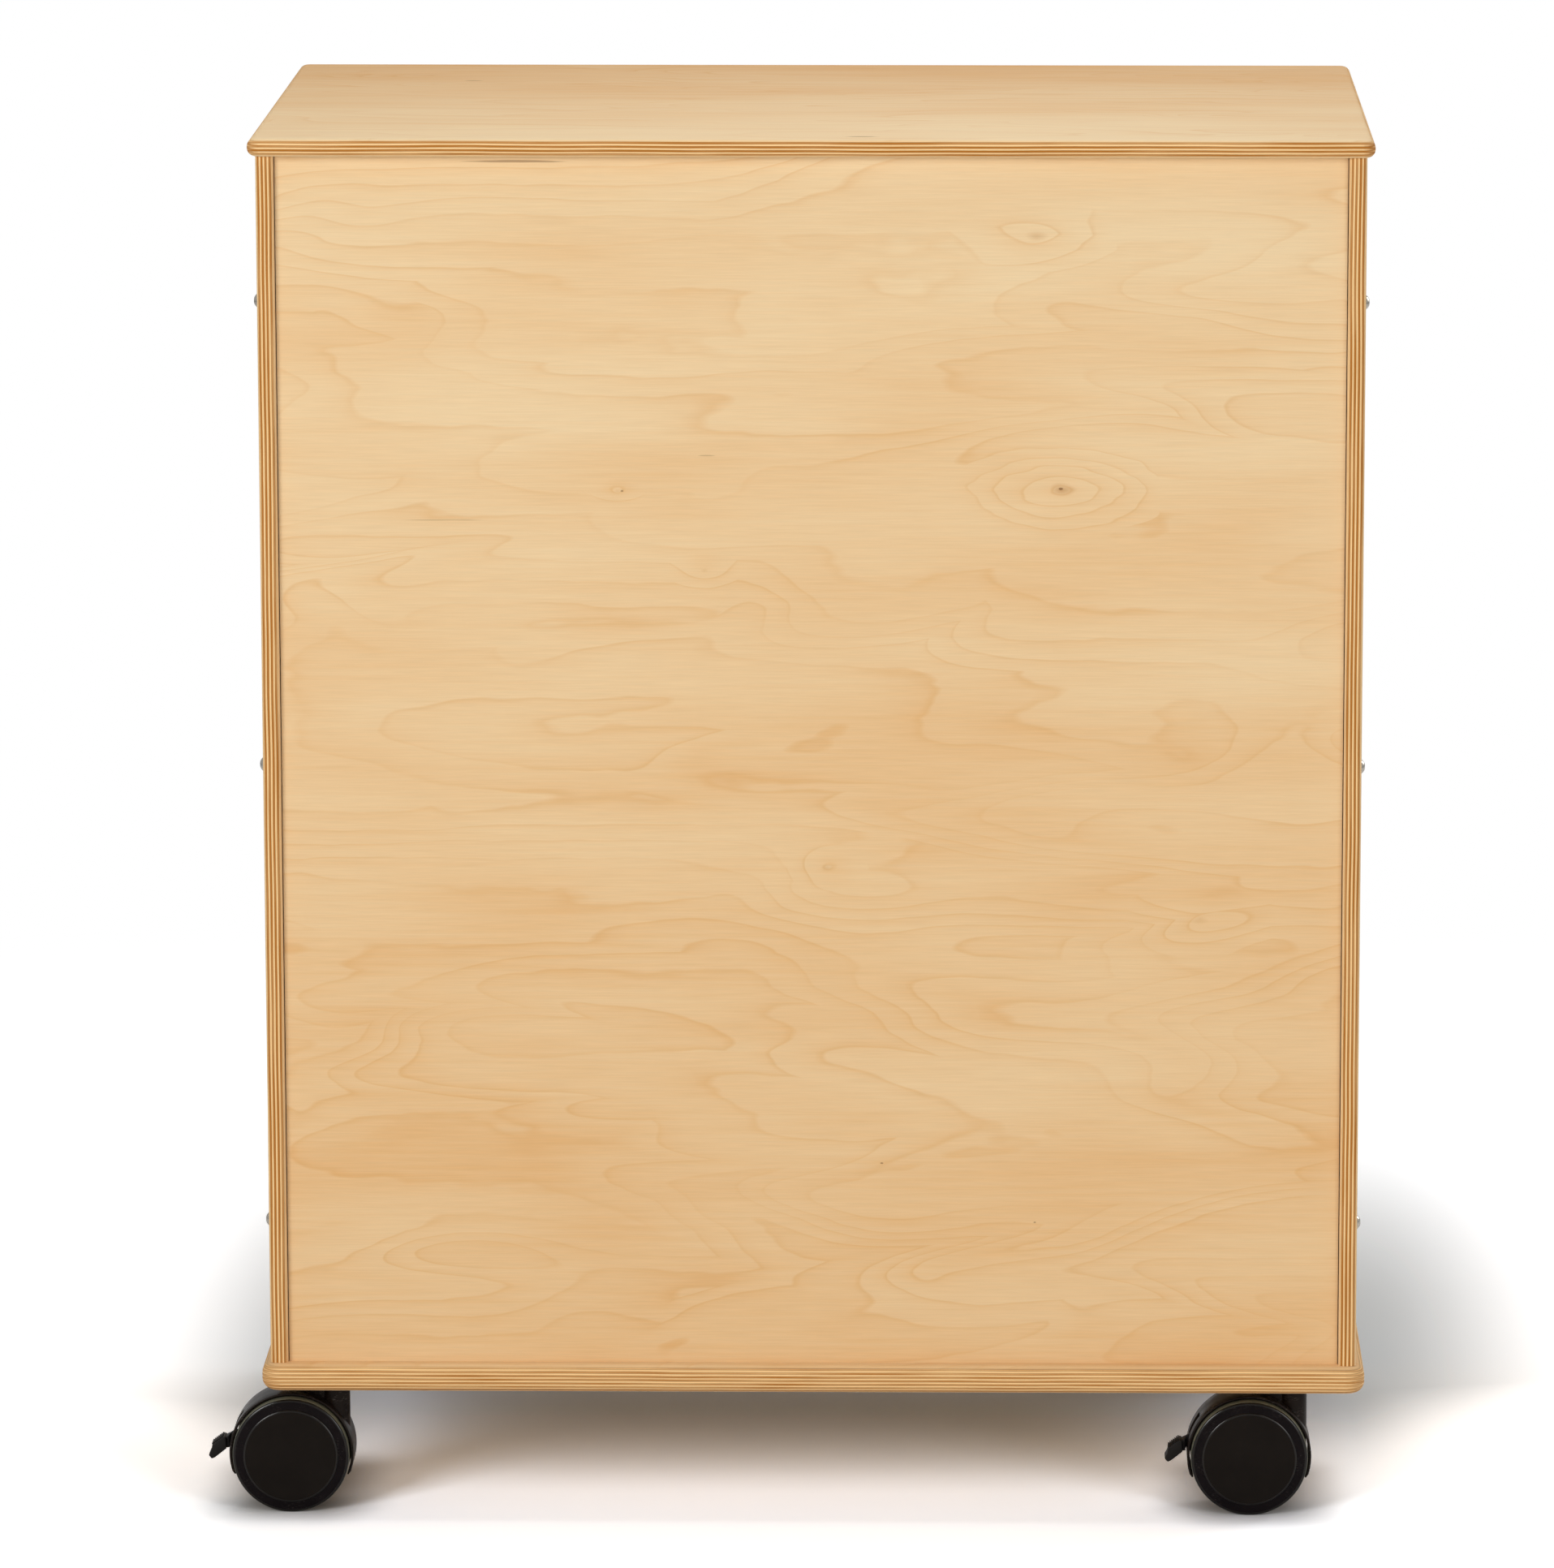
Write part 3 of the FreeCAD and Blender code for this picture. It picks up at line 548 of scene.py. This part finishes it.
# Hinges
# Lift-off hinges of rolled steel leaf on a turned pin, satin nickel-plated, two to a door. Three
# small countersunk screws hold each leaf, and their heads stand just proud of it.
leaf_softening = 0.25
leaf_half_gap = 0.2
leaf_half_length = 30.0
leaf_screw = 5.0
leaf_screw_proud = 0.12
leaf_socket = 2.6
leaf_screw_places = [(-21.0, 0.4), (0.0, 0.65), (21.0, 0.4)]
for side, sign in (("left", -1), ("right", 1)):
    door_low, door_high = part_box(side + "_door")
    hinge_x = joints[side + "_door_hinge"]["pos_m"][0]
    dress(side + "_hinge_pins", satin_nickel)
    # The frame's leaf faces the door, and the door's leaf faces the frame
    for leaf, body, faces in (("frame", "case", -sign), ("door", side + "_door", sign)):
        node = side + "_hinge_" + leaf + "_leaves"
        eased(node, node + "_eased", body, satin_nickel, leaf_softening)
        low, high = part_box(node)
        bm = bmesh.new()
        for hinge_z in (low.z + leaf_half_length * mm, high.z - leaf_half_length * mm):
            for rise, share in leaf_screw_places:
                y = door_low.y + (door_high.y - door_low.y) * share
                spot = Vector((hinge_x - faces * leaf_half_gap * mm, y, hinge_z + rise * mm))
                turn = Matrix.Rotation(faces * math.pi / 2, 4, "Y")
                screw_head(bm, leaf_screw, leaf_screw_proud, leaf_socket, leaf_screw_proud,
                           Matrix.Translation(spot) @ turn, crossed=True)
        heads = keep_mesh(bm, node + "_screw_heads", [satin_nickel])
        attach(heads, body)


# Pulls
# A D-shaped pull for each door, bent from flat steel bar with softened edges, satin nickel-plated.
bar_softening = 0.9
bar_thickness = 5.0
bend_radius = 12.0
bend_steps = 14
pull_screw = 8.0
pull_screw_height = 2.4
pull_socket = 4.0
pull_socket_depth = 1.4
for side in ("left", "right"):
    low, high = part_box(side + "_pull")
    thick, bend = bar_thickness * mm, bend_radius * mm
    bm = bmesh.new()
    corners = [(low.x, low.y, high.z - thick), (high.x, low.y, high.z - thick),
               (high.x, low.y, high.z), (low.x, low.y, high.z)]
    section = bm.faces.new([bm.verts.new(corner) for corner in corners])
    bmesh.ops.bevel(bm, geom=list(bm.verts), offset=bar_softening * mm, segments=4, profile=0.5,
                    affect="VERTICES", material=-1)
    end = list(bm.faces) + list(bm.edges) + list(bm.verts)
    reach, rise = high.y - low.y - bend, high.z - low.z - 2 * bend
    runs = [((0, reach, 0), high.z - bend), ((0, 0, -rise), low.z + bend), ((0, -reach, 0), None)]
    for step, height in runs:
        end = bmesh.ops.extrude_face_region(bm, geom=only(BMFace, end))["geom"]
        bmesh.ops.translate(bm, verts=only(BMVert, end), vec=step)
        if height is not None:
            end = bmesh.ops.spin(bm, geom=only(BMFace, end), axis=(1, 0, 0), steps=bend_steps,
                                 cent=(0, high.y - bend, height), angle=-math.pi / 2)["geom_last"]
    pull = keep_mesh(bm, side + "_pull_bar", [satin_nickel])
    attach(pull, side + "_door")
    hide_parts(side + "_pull")
    # Two pan-head screws come through the door from its inner face
    door_low, door_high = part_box(side + "_door")
    bm = bmesh.new()
    for z in (low.z + thick / 2, high.z - thick / 2):
        spot = Vector(((low.x + high.x) / 2, door_low.y, z))
        screw_head(bm, pull_screw, pull_screw_height, pull_socket, pull_socket_depth,
                   Matrix.Translation(spot) @ Matrix.Rotation(math.pi / 2, 4, "X"), crossed=True)
    heads = keep_mesh(bm, side + "_pull_screw_heads", [satin_nickel])
    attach(heads, side + "_door")


# Caster stems and nuts
# A zinc-plated steel stem runs from each hood's neck up through the base, under a hexagon nut.
zinc = nickel_plate("zinc_plate", "#a8abad", 0.38)
nut_softening = 0.6
dress("caster_stems", zinc)
eased("caster_nuts", "caster_nuts_eased", "case", zinc, nut_softening)


# Caster hoods
# One moulding of black glass-filled nylon: a fender round both wheels, a web between them, and a
# neck that takes the stem. Its mould is polished, with pale scuff marks scattered over it that also
# stand in for the white glints on its fender: partly painted highlight.
hood_wall = 1.8
hood_softening = 0.6
hood_lip = 0.8
lip_share = 0.97
hood_inside = 0.1
slot_half_width = 4.8
slot_span = (2.0, 26.0)
neck_radius = 9.65
neck_softening = 1.2
stem_bore = 5.05
stem_bore_depth = 18.5
web_depths = (-3.85, 0.35)
web_softening = 0.3
boss_radius = 8.0
boss_rise = 0.1
gusset_half_width = 6.0
gusset_drop = 2.5
web_shares = [(0.93, 0.27), (0.17, -0.07), (-0.17, 0.07), (-0.42, 0.88), (0.10, 0.97), (0.70, 0.66)]
gusset_shares = [(-0.20, 0.97), (0.30, 0.60)]
gusset_corner = 1.0
gusset_softening = 0.8
web_corner = 1.0
fender_steps = (44, 10, 7)
foot_rings = 5
neck_arc_steps = 4
neck_steps = 48
boss_steps = 40
touching = 0.01
corners = ("rear_left", "rear_right", "front_left", "front_right")


def moulded_plate(bm, outline, depths, corner, softening):
    """An outline across X and Z with rounded corners, made thick along Y and softened all round."""
    known = set(bm.verts)
    low, high = depths
    face = bm.faces.new([bm.verts.new((x, low, z)) for x, z in outline])
    bmesh.ops.bevel(bm, geom=list(face.verts), offset=corner, segments=4, profile=0.5,
                    affect="VERTICES", material=-1)
    flat = [f for f in bm.faces if not known & set(f.verts)]
    far = bmesh.ops.extrude_face_region(bm, geom=flat)["geom"]
    bmesh.ops.translate(bm, verts=only(BMVert, far), vec=(0, high - low, 0))
    edges = {e for v in bm.verts if v not in known for e in v.link_edges}
    rims = [e for e in edges if abs(e.verts[0].co.y - e.verts[1].co.y) < touching * mm]
    bmesh.ops.bevel(bm, geom=rims, offset=softening, segments=3, profile=0.5, affect="EDGES", material=-1)


def turned(bm, profile, centre, axis, steps):
    """A profile of points, turned right round an axis through a centre."""
    verts = [bm.verts.new(point) for point in profile]
    edges = [bm.edges.new(pair) for pair in zip(verts, verts[1:])]
    bmesh.ops.spin(bm, geom=verts + edges, axis=axis, cent=centre, steps=steps, angle=2 * math.pi,
                   use_merge=True)


def fender(bm, radius, half_width, drop):
    """The curved wall round the wheels, with the lever's slot through its left side."""
    inner = radius - hood_wall * mm
    rows = [(bm.verts.new((inner, y, 0)), bm.verts.new((radius, y, 0)))
            for y in (-half_width, -slot_half_width * mm, slot_half_width * mm, half_width)]
    for (a, b), (c, d) in zip(rows, rows[1:]):
        bm.faces.new((a, b, d, c))
    bmesh.ops.bevel(bm, geom=[*rows[0], *rows[-1]], offset=hood_softening * mm, segments=3, profile=0.5,
                    affect="VERTICES", material=-1)
    foot = math.asin(drop / radius)
    slot_low, slot_high = (math.asin(height * mm / radius) for height in slot_span)
    bmesh.ops.rotate(bm, verts=bm.verts, cent=(0, 0, 0), matrix=Matrix.Rotation(foot, 3, "Y"))
    spans = (math.pi - slot_high + foot, slot_high - slot_low, slot_low + foot)
    section = list(bm.faces)
    for n, (angle, steps) in enumerate(zip(spans, fender_steps)):
        out = bmesh.ops.spin(bm, geom=section, axis=(0, -1, 0), cent=(0, 0, 0), steps=steps, angle=angle)
        section = only(BMFace, out["geom_last"])
        if n == 0:
            section = [f for f in section if abs(f.calc_center_median().y) > slot_half_width * mm]
        if n == 1:
            inside = [e for f in section for e in f.edges
                      if all(abs(abs(v.co.y) - slot_half_width * mm) < touching * mm for v in e.verts)]
            near, far = (sorted(e.verts, key=lambda v: v.co.xz.length) for e in inside)
            section.append(bm.faces.new((*near, *reversed(far))))
    # Both ends of the wall taper to a lip
    for v in bm.verts:
        outward = math.hypot(v.co.x, v.co.z)
        if v.co.z < -drop * lip_share and outward > radius - hood_wall / 2 * mm:
            v.co.x *= 1 - hood_lip * mm / outward
            v.co.z *= 1 - hood_lip * mm / outward


def neck(bm, radius, trail, top):
    """The round neck over the stem's socket, with its foot laid on the fender's inside."""
    round_off = neck_softening * mm
    wide, bore, floor = neck_radius * mm, stem_bore * mm, top - stem_bore_depth * mm
    # A height that marks the foot's points until they are laid on the fender
    foot_height = -1.0
    profile = [(trail + wide * n / foot_rings, 0, foot_height) for n in range(foot_rings + 1)]
    for n in range(neck_arc_steps + 1):
        a = n / neck_arc_steps * math.pi / 2
        profile.append((trail + wide - round_off * (1 - math.cos(a)), 0,
                        top - round_off * (1 - math.sin(a))))
    profile += [(trail + bore, 0, top), (trail + bore, 0, floor), (trail, 0, floor)]
    turned(bm, profile, (trail, 0, 0), (0, 0, 1), neck_steps)
    inner = radius - hood_wall * mm + hood_inside * mm
    for v in bm.verts:
        if v.co.z == foot_height:
            v.co.z = math.sqrt(inner ** 2 - v.co.x ** 2)


def across(shares, radius):
    """An outline that is given in shares of the fender's radius, from the axle."""
    return [(x * radius, z * radius) for x, z in shares]


def onto_axle(bm, axle, stem):
    """Turns a caster's piece to the side that it trails to, and moves it to its axle."""
    half_turn = 0 if stem.x > axle.x else math.pi
    bmesh.ops.transform(bm, verts=bm.verts,
                        matrix=Matrix.Translation(axle) @ Matrix.Rotation(half_turn, 4, "Z"))


# Its pale scuff marks are partly painted glints on the fender
black_hood = moulded_plastic("moulded_nylon_gloss_black", "#1c1511", 0.28, 0.5, 0.2, 0.1, 0.5)
for corner in corners:
    axle = Vector(joints[corner + "_outer_wheel_spin"]["pos_m"])
    stem = Vector(joints[corner + "_swivel"]["pos_m"])
    low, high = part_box(corner + "_hood")
    radius, half_width, trail = (high.x - low.x) / 2, (high.y - low.y) / 2, abs(stem.x - axle.x)
    top = high.z - axle.z
    bm = bmesh.new()
    fender(bm, radius, half_width, axle.z - low.z)
    neck(bm, radius, trail, top)
    far, near = across(gusset_shares, radius)
    gusset = [(trail, top - gusset_drop * mm), far, near, (trail, near[1])]
    gusset_depths = (-gusset_half_width * mm, gusset_half_width * mm)
    moulded_plate(bm, gusset, gusset_depths, gusset_corner * mm, gusset_softening * mm)
    depths = [depth * mm for depth in web_depths]
    moulded_plate(bm, across(web_shares, radius), depths, web_corner * mm, web_softening * mm)
    boss = boss_radius * mm
    profile = [(0, depths[0] - boss_rise * mm, 0), (boss, depths[0] - boss_rise * mm, 0),
               (boss, depths[1] + boss_rise * mm, 0), (0, depths[1] + boss_rise * mm, 0)]
    turned(bm, profile, (0, 0, 0), (0, 1, 0), boss_steps)
    onto_axle(bm, axle, stem)
    hood = keep_mesh(bm, corner + "_hood_moulding", [black_hood])
    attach(hood, corner + "_caster")
    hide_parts(corner + "_hood")
    dress(corner + "_axle", zinc)


# Caster wheels
# Black nylon twin wheels. A matt disc closes each outer face, and a satin ring slopes from its
# polished round step to the polished rim, which catches the light. The tread is painted grey-green:
# a painted reflection of the floor in it.
wheel_steps = 96
disc_radius = 32.6
disc_round = 1.4
disc_proud = 0.9
ring_slope = 0.6
rim_radius = 2.0
round_steps = 6
edge_sharp_above = 40
wheel_gloss = moulded_plastic("moulded_nylon_polished_edge", "#15120f", 0.16, 0.6, 0.15, 0.3)
wheel_satin = moulded_plastic("moulded_nylon_satin_ring", "#141011", 0.26, 0.6, 0.15, 0.05, 0.2)
wheel_matt = moulded_plastic("moulded_nylon_matt_disc", "#1a1613", 0.5, 0.5, 0.1, 0.04)
# The tread's pale grey-green is a painted reflection of the floor in it
tread_reflection_grey = moulded_plastic("moulded_tread_painted_reflection", "#6c6b5a", 0.5, 0.6, 0.15, 0.2, 0.3)


def wheel_mesh(centre, inner, outer, radius):
    """A wheel turned about an axle along Y, with its disc at the outer depth."""
    out = 1 if outer > inner else -1
    disc, edge, rim = disc_radius * mm, disc_round * mm, rim_radius * mm
    ring_foot = outer - out * disc_proud * mm
    rim_face = ring_foot - out * ring_slope * mm
    quarter = [n / round_steps * math.pi / 2 for n in range(round_steps + 1)]
    flat, step = radius - rim, outer - ring_foot
    profile = [(0, outer)]
    profile += [(disc - edge + edge * math.sin(a), outer - step * (1 - math.cos(a))) for a in quarter]
    profile += [(flat + rim * math.sin(a), rim_face - out * rim * (1 - math.cos(a))) for a in quarter]
    profile += [(flat + rim * math.cos(a), inner + out * rim * (1 - math.sin(a))) for a in quarter]
    profile.append((0, inner))
    bm = bmesh.new()
    points = [(centre.x + r, y, centre.z) for r, y in profile]
    turned(bm, points, centre, (0, 1, 0), wheel_steps)
    for face in bm.faces:
        middle = face.calc_center_median()
        reach = math.hypot(middle.x - centre.x, middle.z - centre.z)
        deep = abs(middle.y - outer)
        if reach > radius - rim / 8:
            face.material_index = 3
        elif deep > abs(outer - rim_face) + rim or reach < disc - edge:
            face.material_index = 2
        elif disc < reach < flat:
            face.material_index = 1
    return bm


for corner in corners:
    for which in ("_outer_wheel", "_inner_wheel"):
        low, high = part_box(corner + which)
        centre = (low + high) / 2
        hub = Vector(joints[corner + which + "_spin"]["pos_m"])
        inner, outer = (low.y, high.y) if centre.y > hub.y else (high.y, low.y)
        bm = wheel_mesh(centre, inner, outer, (high.z - low.z) / 2)
        wheel = keep_mesh(bm, corner + which + "_tyre_and_disc",
                          [wheel_gloss, wheel_satin, wheel_matt, tread_reflection_grey], edge_sharp_above)
        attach(wheel, corner + which)
        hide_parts(corner + which)


# Brake levers
# A moulded nylon lever turns on each axle beside the web. Its arm comes out of the hood's slot and
# widens to a toe pad with seven grip ribs across it.
lever_depths = (0.65, 3.85)
lever_hub = 7.0
lever_neck_half = 4.5
lever_pad_half = 6.5
lever_rib_count = 7
lever_rib_height = 0.8
lever_rib_half = 0.42
lever_rib_corner = 0.3
lever_rib_softening = 0.2
lever_hub_steps = 40
lever_softening = 0.5
pad_corner = 0.8
lever_arm_shares = [(-0.05, 0.155), (-0.845, 0.289), (-0.939, 0.280), (-1.073, 0.195), (-1.073, 0.052),
                    (-1.019, 0.028), (-0.972, 0.127), (-0.845, 0.122), (-0.05, -0.155)]
lever_neck_shares = [(-1.019, 0.229), (-1.090, 0.195), (-1.090, 0.019), (-1.019, 0.024)]
lever_pad_shares = [(-1.073, 0.195), (-1.115, 0.212), (-1.299, 0.075), (-1.308, -0.007),
                    (-1.358, -0.092), (-1.308, -0.155), (-1.256, -0.134), (-1.064, 0.019)]
lever_black = moulded_plastic("moulded_nylon_matt_black", "#171412", 0.42, 0.5, 0.15, 0.16)
for corner in corners:
    axle = Vector(joints[corner + "_outer_wheel_spin"]["pos_m"])
    stem = Vector(joints[corner + "_swivel"]["pos_m"])
    low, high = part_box(corner + "_hood")
    radius = (high.x - low.x) / 2
    bm = bmesh.new()
    depths = [depth * mm for depth in lever_depths]
    soft = lever_softening * mm
    moulded_plate(bm, across(lever_arm_shares, radius), depths, soft, soft / 2)
    neck_depths = (-lever_neck_half * mm, lever_neck_half * mm)
    moulded_plate(bm, across(lever_neck_shares, radius), neck_depths, soft, soft)
    pad_depths = (-lever_pad_half * mm, lever_pad_half * mm)
    pad = across(lever_pad_shares, radius)
    moulded_plate(bm, pad, pad_depths, pad_corner * mm, soft)
    # Seven ribs across the pad's sloped upper face
    start, end = Vector(pad[1]), Vector(pad[2])
    along = (end - start).normalized()
    outward = Vector((along.y, -along.x))
    rib_depths = (pad_depths[0] + soft, pad_depths[1] - soft)
    for n in range(lever_rib_count):
        middle = start + (end - start) * (n + 0.5) / lever_rib_count
        half, rise = along * lever_rib_half * mm, outward * lever_rib_height * mm
        rib = [middle - half - rise, middle - half + rise, middle + half + rise, middle + half - rise]
        moulded_plate(bm, rib, rib_depths, lever_rib_corner * mm, lever_rib_softening * mm)
    hub_reach = lever_hub * mm
    profile = [(0, depths[0], 0), (hub_reach, depths[0], 0), (hub_reach, depths[1], 0), (0, depths[1], 0)]
    turned(bm, profile, (0, 0, 0), (0, 1, 0), lever_hub_steps)
    onto_axle(bm, axle, stem)
    lever = keep_mesh(bm, corner + "_brake_lever_moulding", [lever_black])
    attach(lever, corner + "_brake_lever")
    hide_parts(corner + "_brake_lever")


# Floor
# A plain pale floor that takes the cabinet's soft shadow and fades into a white background. Round
# the case its paper is painted greyer and lifted less, painted shade that deepens that shadow. Under
# the base it is painted bluer, to cancel the warm light that the wood bounces there, and where the
# wheels stand it is painted darker, a painted contact shadow.
floor_size = 16.0
paper_white = "#f0f1f3"
paper_shaded = "#d2d2d2"
# Painted light: a bluer paper under the base that cancels the warm light the wood bounces onto it
bounce_cancelling_blue = "#e4ecfc"
paper_lift = "#fbfcfe"
shade_lift = "#48565c"
# Painted contact shadow: darker paper where the rear wheels stand
painted_contact_shadow = "#a29a92"
case_x = 0.02
wheel_feet = [(-0.338, -0.15, 0), (0.319, -0.15, 0)]
foot_half, foot_margin = (0.015, 0.04, 1), (0.06, 0.07, 1)
# Rectangles on the floor, each with its middle, half its sides and how far out it fades
before_case = ((0.04, -1.0, 0), (0.37, 1.3, 1), (0.2, 0.9, 1))
under_base = ((case_x, 0.0, 0), (0.3, 0.2, 1), (0.1, 0.1, 1))
round_case = ((case_x, 0.3, 0), (0.5, 0.5, 1), (0.9, 0.9, 1))
shade_front = (0.1, -0.15)
shade_slant = (0.38, 1.38, 0.0, -1.5)
bm = bmesh.new()
bmesh.ops.create_grid(bm, x_segments=2, y_segments=2, size=floor_size / 2)
floor_mesh = bpy.data.meshes.new("floor")
bm.to_mesh(floor_mesh)
bm.free()
floor = bpy.data.objects.new("floor", floor_mesh)
bpy.context.scene.collection.objects.link(floor)
paper, tree, shader = blank_material("matt_white_paper")
place = add(tree, "TexCoord")


def outside(centre, half, margin):
    """How far a floor point lies out of a rectangle: 0 inside it and 1 past its margin."""
    offset = add(tree, "VectorMath", [place.outputs["Object"], centre], operation="SUBTRACT")
    offset = add(tree, "VectorMath", [offset], operation="ABSOLUTE")
    offset = add(tree, "VectorMath", [offset, half], operation="SUBTRACT")
    offset = add(tree, "VectorMath", [offset, (0, 0, 0)], operation="MAXIMUM")
    offset = add(tree, "VectorMath", [offset, [1 / m for m in margin]], operation="MULTIPLY")
    far = add(tree, "VectorMath", [offset], operation="LENGTH").outputs["Value"]
    return add(tree, "MapRange", [far, 0.0, 1.0, 0.0, 1.0], interpolation_type="SMOOTHSTEP")


rays = add(tree, "LightPath")
seen = [rays.outputs["Is Camera Ray"], rays.outputs["Is Transmission Ray"]]
seen = add(tree, "Math", seen, operation="MAXIMUM")
# The shade's front edge runs straight under the case and slants back on both sides of it
point = add(tree, "SeparateXYZ", [place.outputs["Object"]])
aside = add(tree, "Math", [point.outputs["X"], case_x], operation="SUBTRACT")
aside = add(tree, "Math", [aside], operation="ABSOLUTE")
aside = add(tree, "MapRange", [aside, *shade_slant])
slanted = add(tree, "Math", [point.outputs["Y"], aside], operation="ADD")
front = add(tree, "MapRange", [slanted, *shade_front, 0.0, 1.0], interpolation_type="SMOOTHSTEP")
beside = outside(*before_case)
open_floor = add(tree, "Math", [front, beside], operation="MAXIMUM")
not_under = outside(*under_base)
away = outside(*round_case)
# Painted shade: round the case the paper is greyer where the shadow falls, and below it is lifted less
base = add(tree, "Mix", [open_floor, linear(paper_shaded), linear(paper_white)], data_type="RGBA")
# Under the base the paper is painted bluer, against the warm bounced light
base = add(tree, "Mix", [not_under, linear(bounce_cancelling_blue), base], data_type="RGBA")
# A painted contact shadow round each rear wheel's foot, where the lift is also taken away
off_contact_shadow = [outside(foot, foot_half, foot_margin) for foot in wheel_feet]
off_contact_shadow = add(tree, "Math", off_contact_shadow, operation="MINIMUM")
base = add(tree, "Mix", [off_contact_shadow, linear(painted_contact_shadow), base], data_type="RGBA")
paler = add(tree, "Mix", [open_floor, linear(shade_lift), linear(paper_lift)], data_type="RGBA")
paler = add(tree, "Mix", [off_contact_shadow, linear("#000000"), paler], data_type="RGBA")
paler = add(tree, "Mix", [seen, linear("#000000"), paler], data_type="RGBA")
tree.links.new(base.outputs[2], shader.inputs["Base Color"])
shader.inputs["Roughness"].default_value = 0.9
shader.inputs["Specular IOR Level"].default_value = 0.1
lift = add(tree, "BsdfDiffuse", {"Color": paler.outputs[2]})
near = add(tree, "AddShader", [shader, lift])
white = add(tree, "Emission", {"Color": linear("#ffffff")})
blend = add(tree, "Math", [away, seen], operation="MULTIPLY")
whole = add(tree, "MixShader", [blend, near, white])
tree.links.new(whole.outputs["Shader"], tree.nodes["Material Output"].inputs["Surface"])
floor_mesh.materials.append(paper)


# Light
# Plain studio light: a wide soft light from the left, a weaker one and a small high one from the
# right, a strip over the top's near edge, and two from the far side, in a pale room that the camera
# sees as white and the glossy surfaces as pale grey.
room_glow = 0.17
room_in_gloss = 0.5
case_centre = (0, 0, 0.5)


def softbox(name, place, aim, width, height, power):
    light = bpy.data.lights.new(name, "AREA")
    light.shape = "RECTANGLE"
    light.size, light.size_y = width, height
    light.energy = power
    lamp = bpy.data.objects.new(name, light)
    lamp.location = place
    lamp.rotation_euler = (Vector(aim) - Vector(place)).to_track_quat("-Z", "Y").to_euler()
    bpy.context.scene.collection.objects.link(lamp)


softbox("key_light", (-2.6, -3.4, 2.0), case_centre, 1.6, 1.6, 95)
softbox("fill_light", (2.6, -3.2, 1.3), case_centre, 1.6, 1.6, 38)
softbox("high_light", (1.6, -2.6, 2.6), case_centre, 0.5, 0.5, 8)
softbox("top_light", (0.02, -0.26, 1.7), (0.02, -0.26, 0.9), 1.4, 0.3, 3.0)
softbox("far_light", (0.4, 2.6, 3.2), (0, 0, 0.3), 2.0, 1.6, 44)
softbox("side_light", (2.8, 1.6, 1.7), (0.4, 0.3, 0.2), 1.2, 1.2, 24)
world = bpy.data.worlds.new("white_room")
world.use_nodes = True
bpy.context.scene.world = world
tree = world.node_tree
rays = add(tree, "LightPath")
seen = [rays.outputs["Is Camera Ray"], rays.outputs["Is Transmission Ray"]]
seen = add(tree, "Math", seen, operation="MAXIMUM")
gloss = add(tree, "MapRange", [rays.outputs["Is Glossy Ray"], 0.0, 1.0, room_glow, room_in_gloss])
strength = add(tree, "Math", [seen, gloss], operation="MAXIMUM")
room = tree.nodes["Background"]
room.inputs["Color"].default_value = linear("#ffffff")
tree.links.new(strength.outputs["Value"], room.inputs["Strength"])


# Camera
# It stands six metres behind the cabinet, above its top, and looks down on it, as in the photograph.
look_down = 0.1802
look_aside = 0.0127
camera_data = bpy.data.cameras.new("camera")
camera = bpy.data.objects.new("camera", camera_data)
camera.location = (0.1476, -6.0, 1.6395)
camera.rotation_euler = (math.pi / 2 - look_down, 0, look_aside)
camera_data.sensor_width = 36
camera_data.lens = 200.4
camera_data.shift_x = -0.0735
camera_data.shift_y = -0.07
camera_data.clip_end = 50
bpy.context.scene.collection.objects.link(camera)
bpy.context.scene.camera = camera
bpy.context.scene.view_settings.view_transform = "Standard"
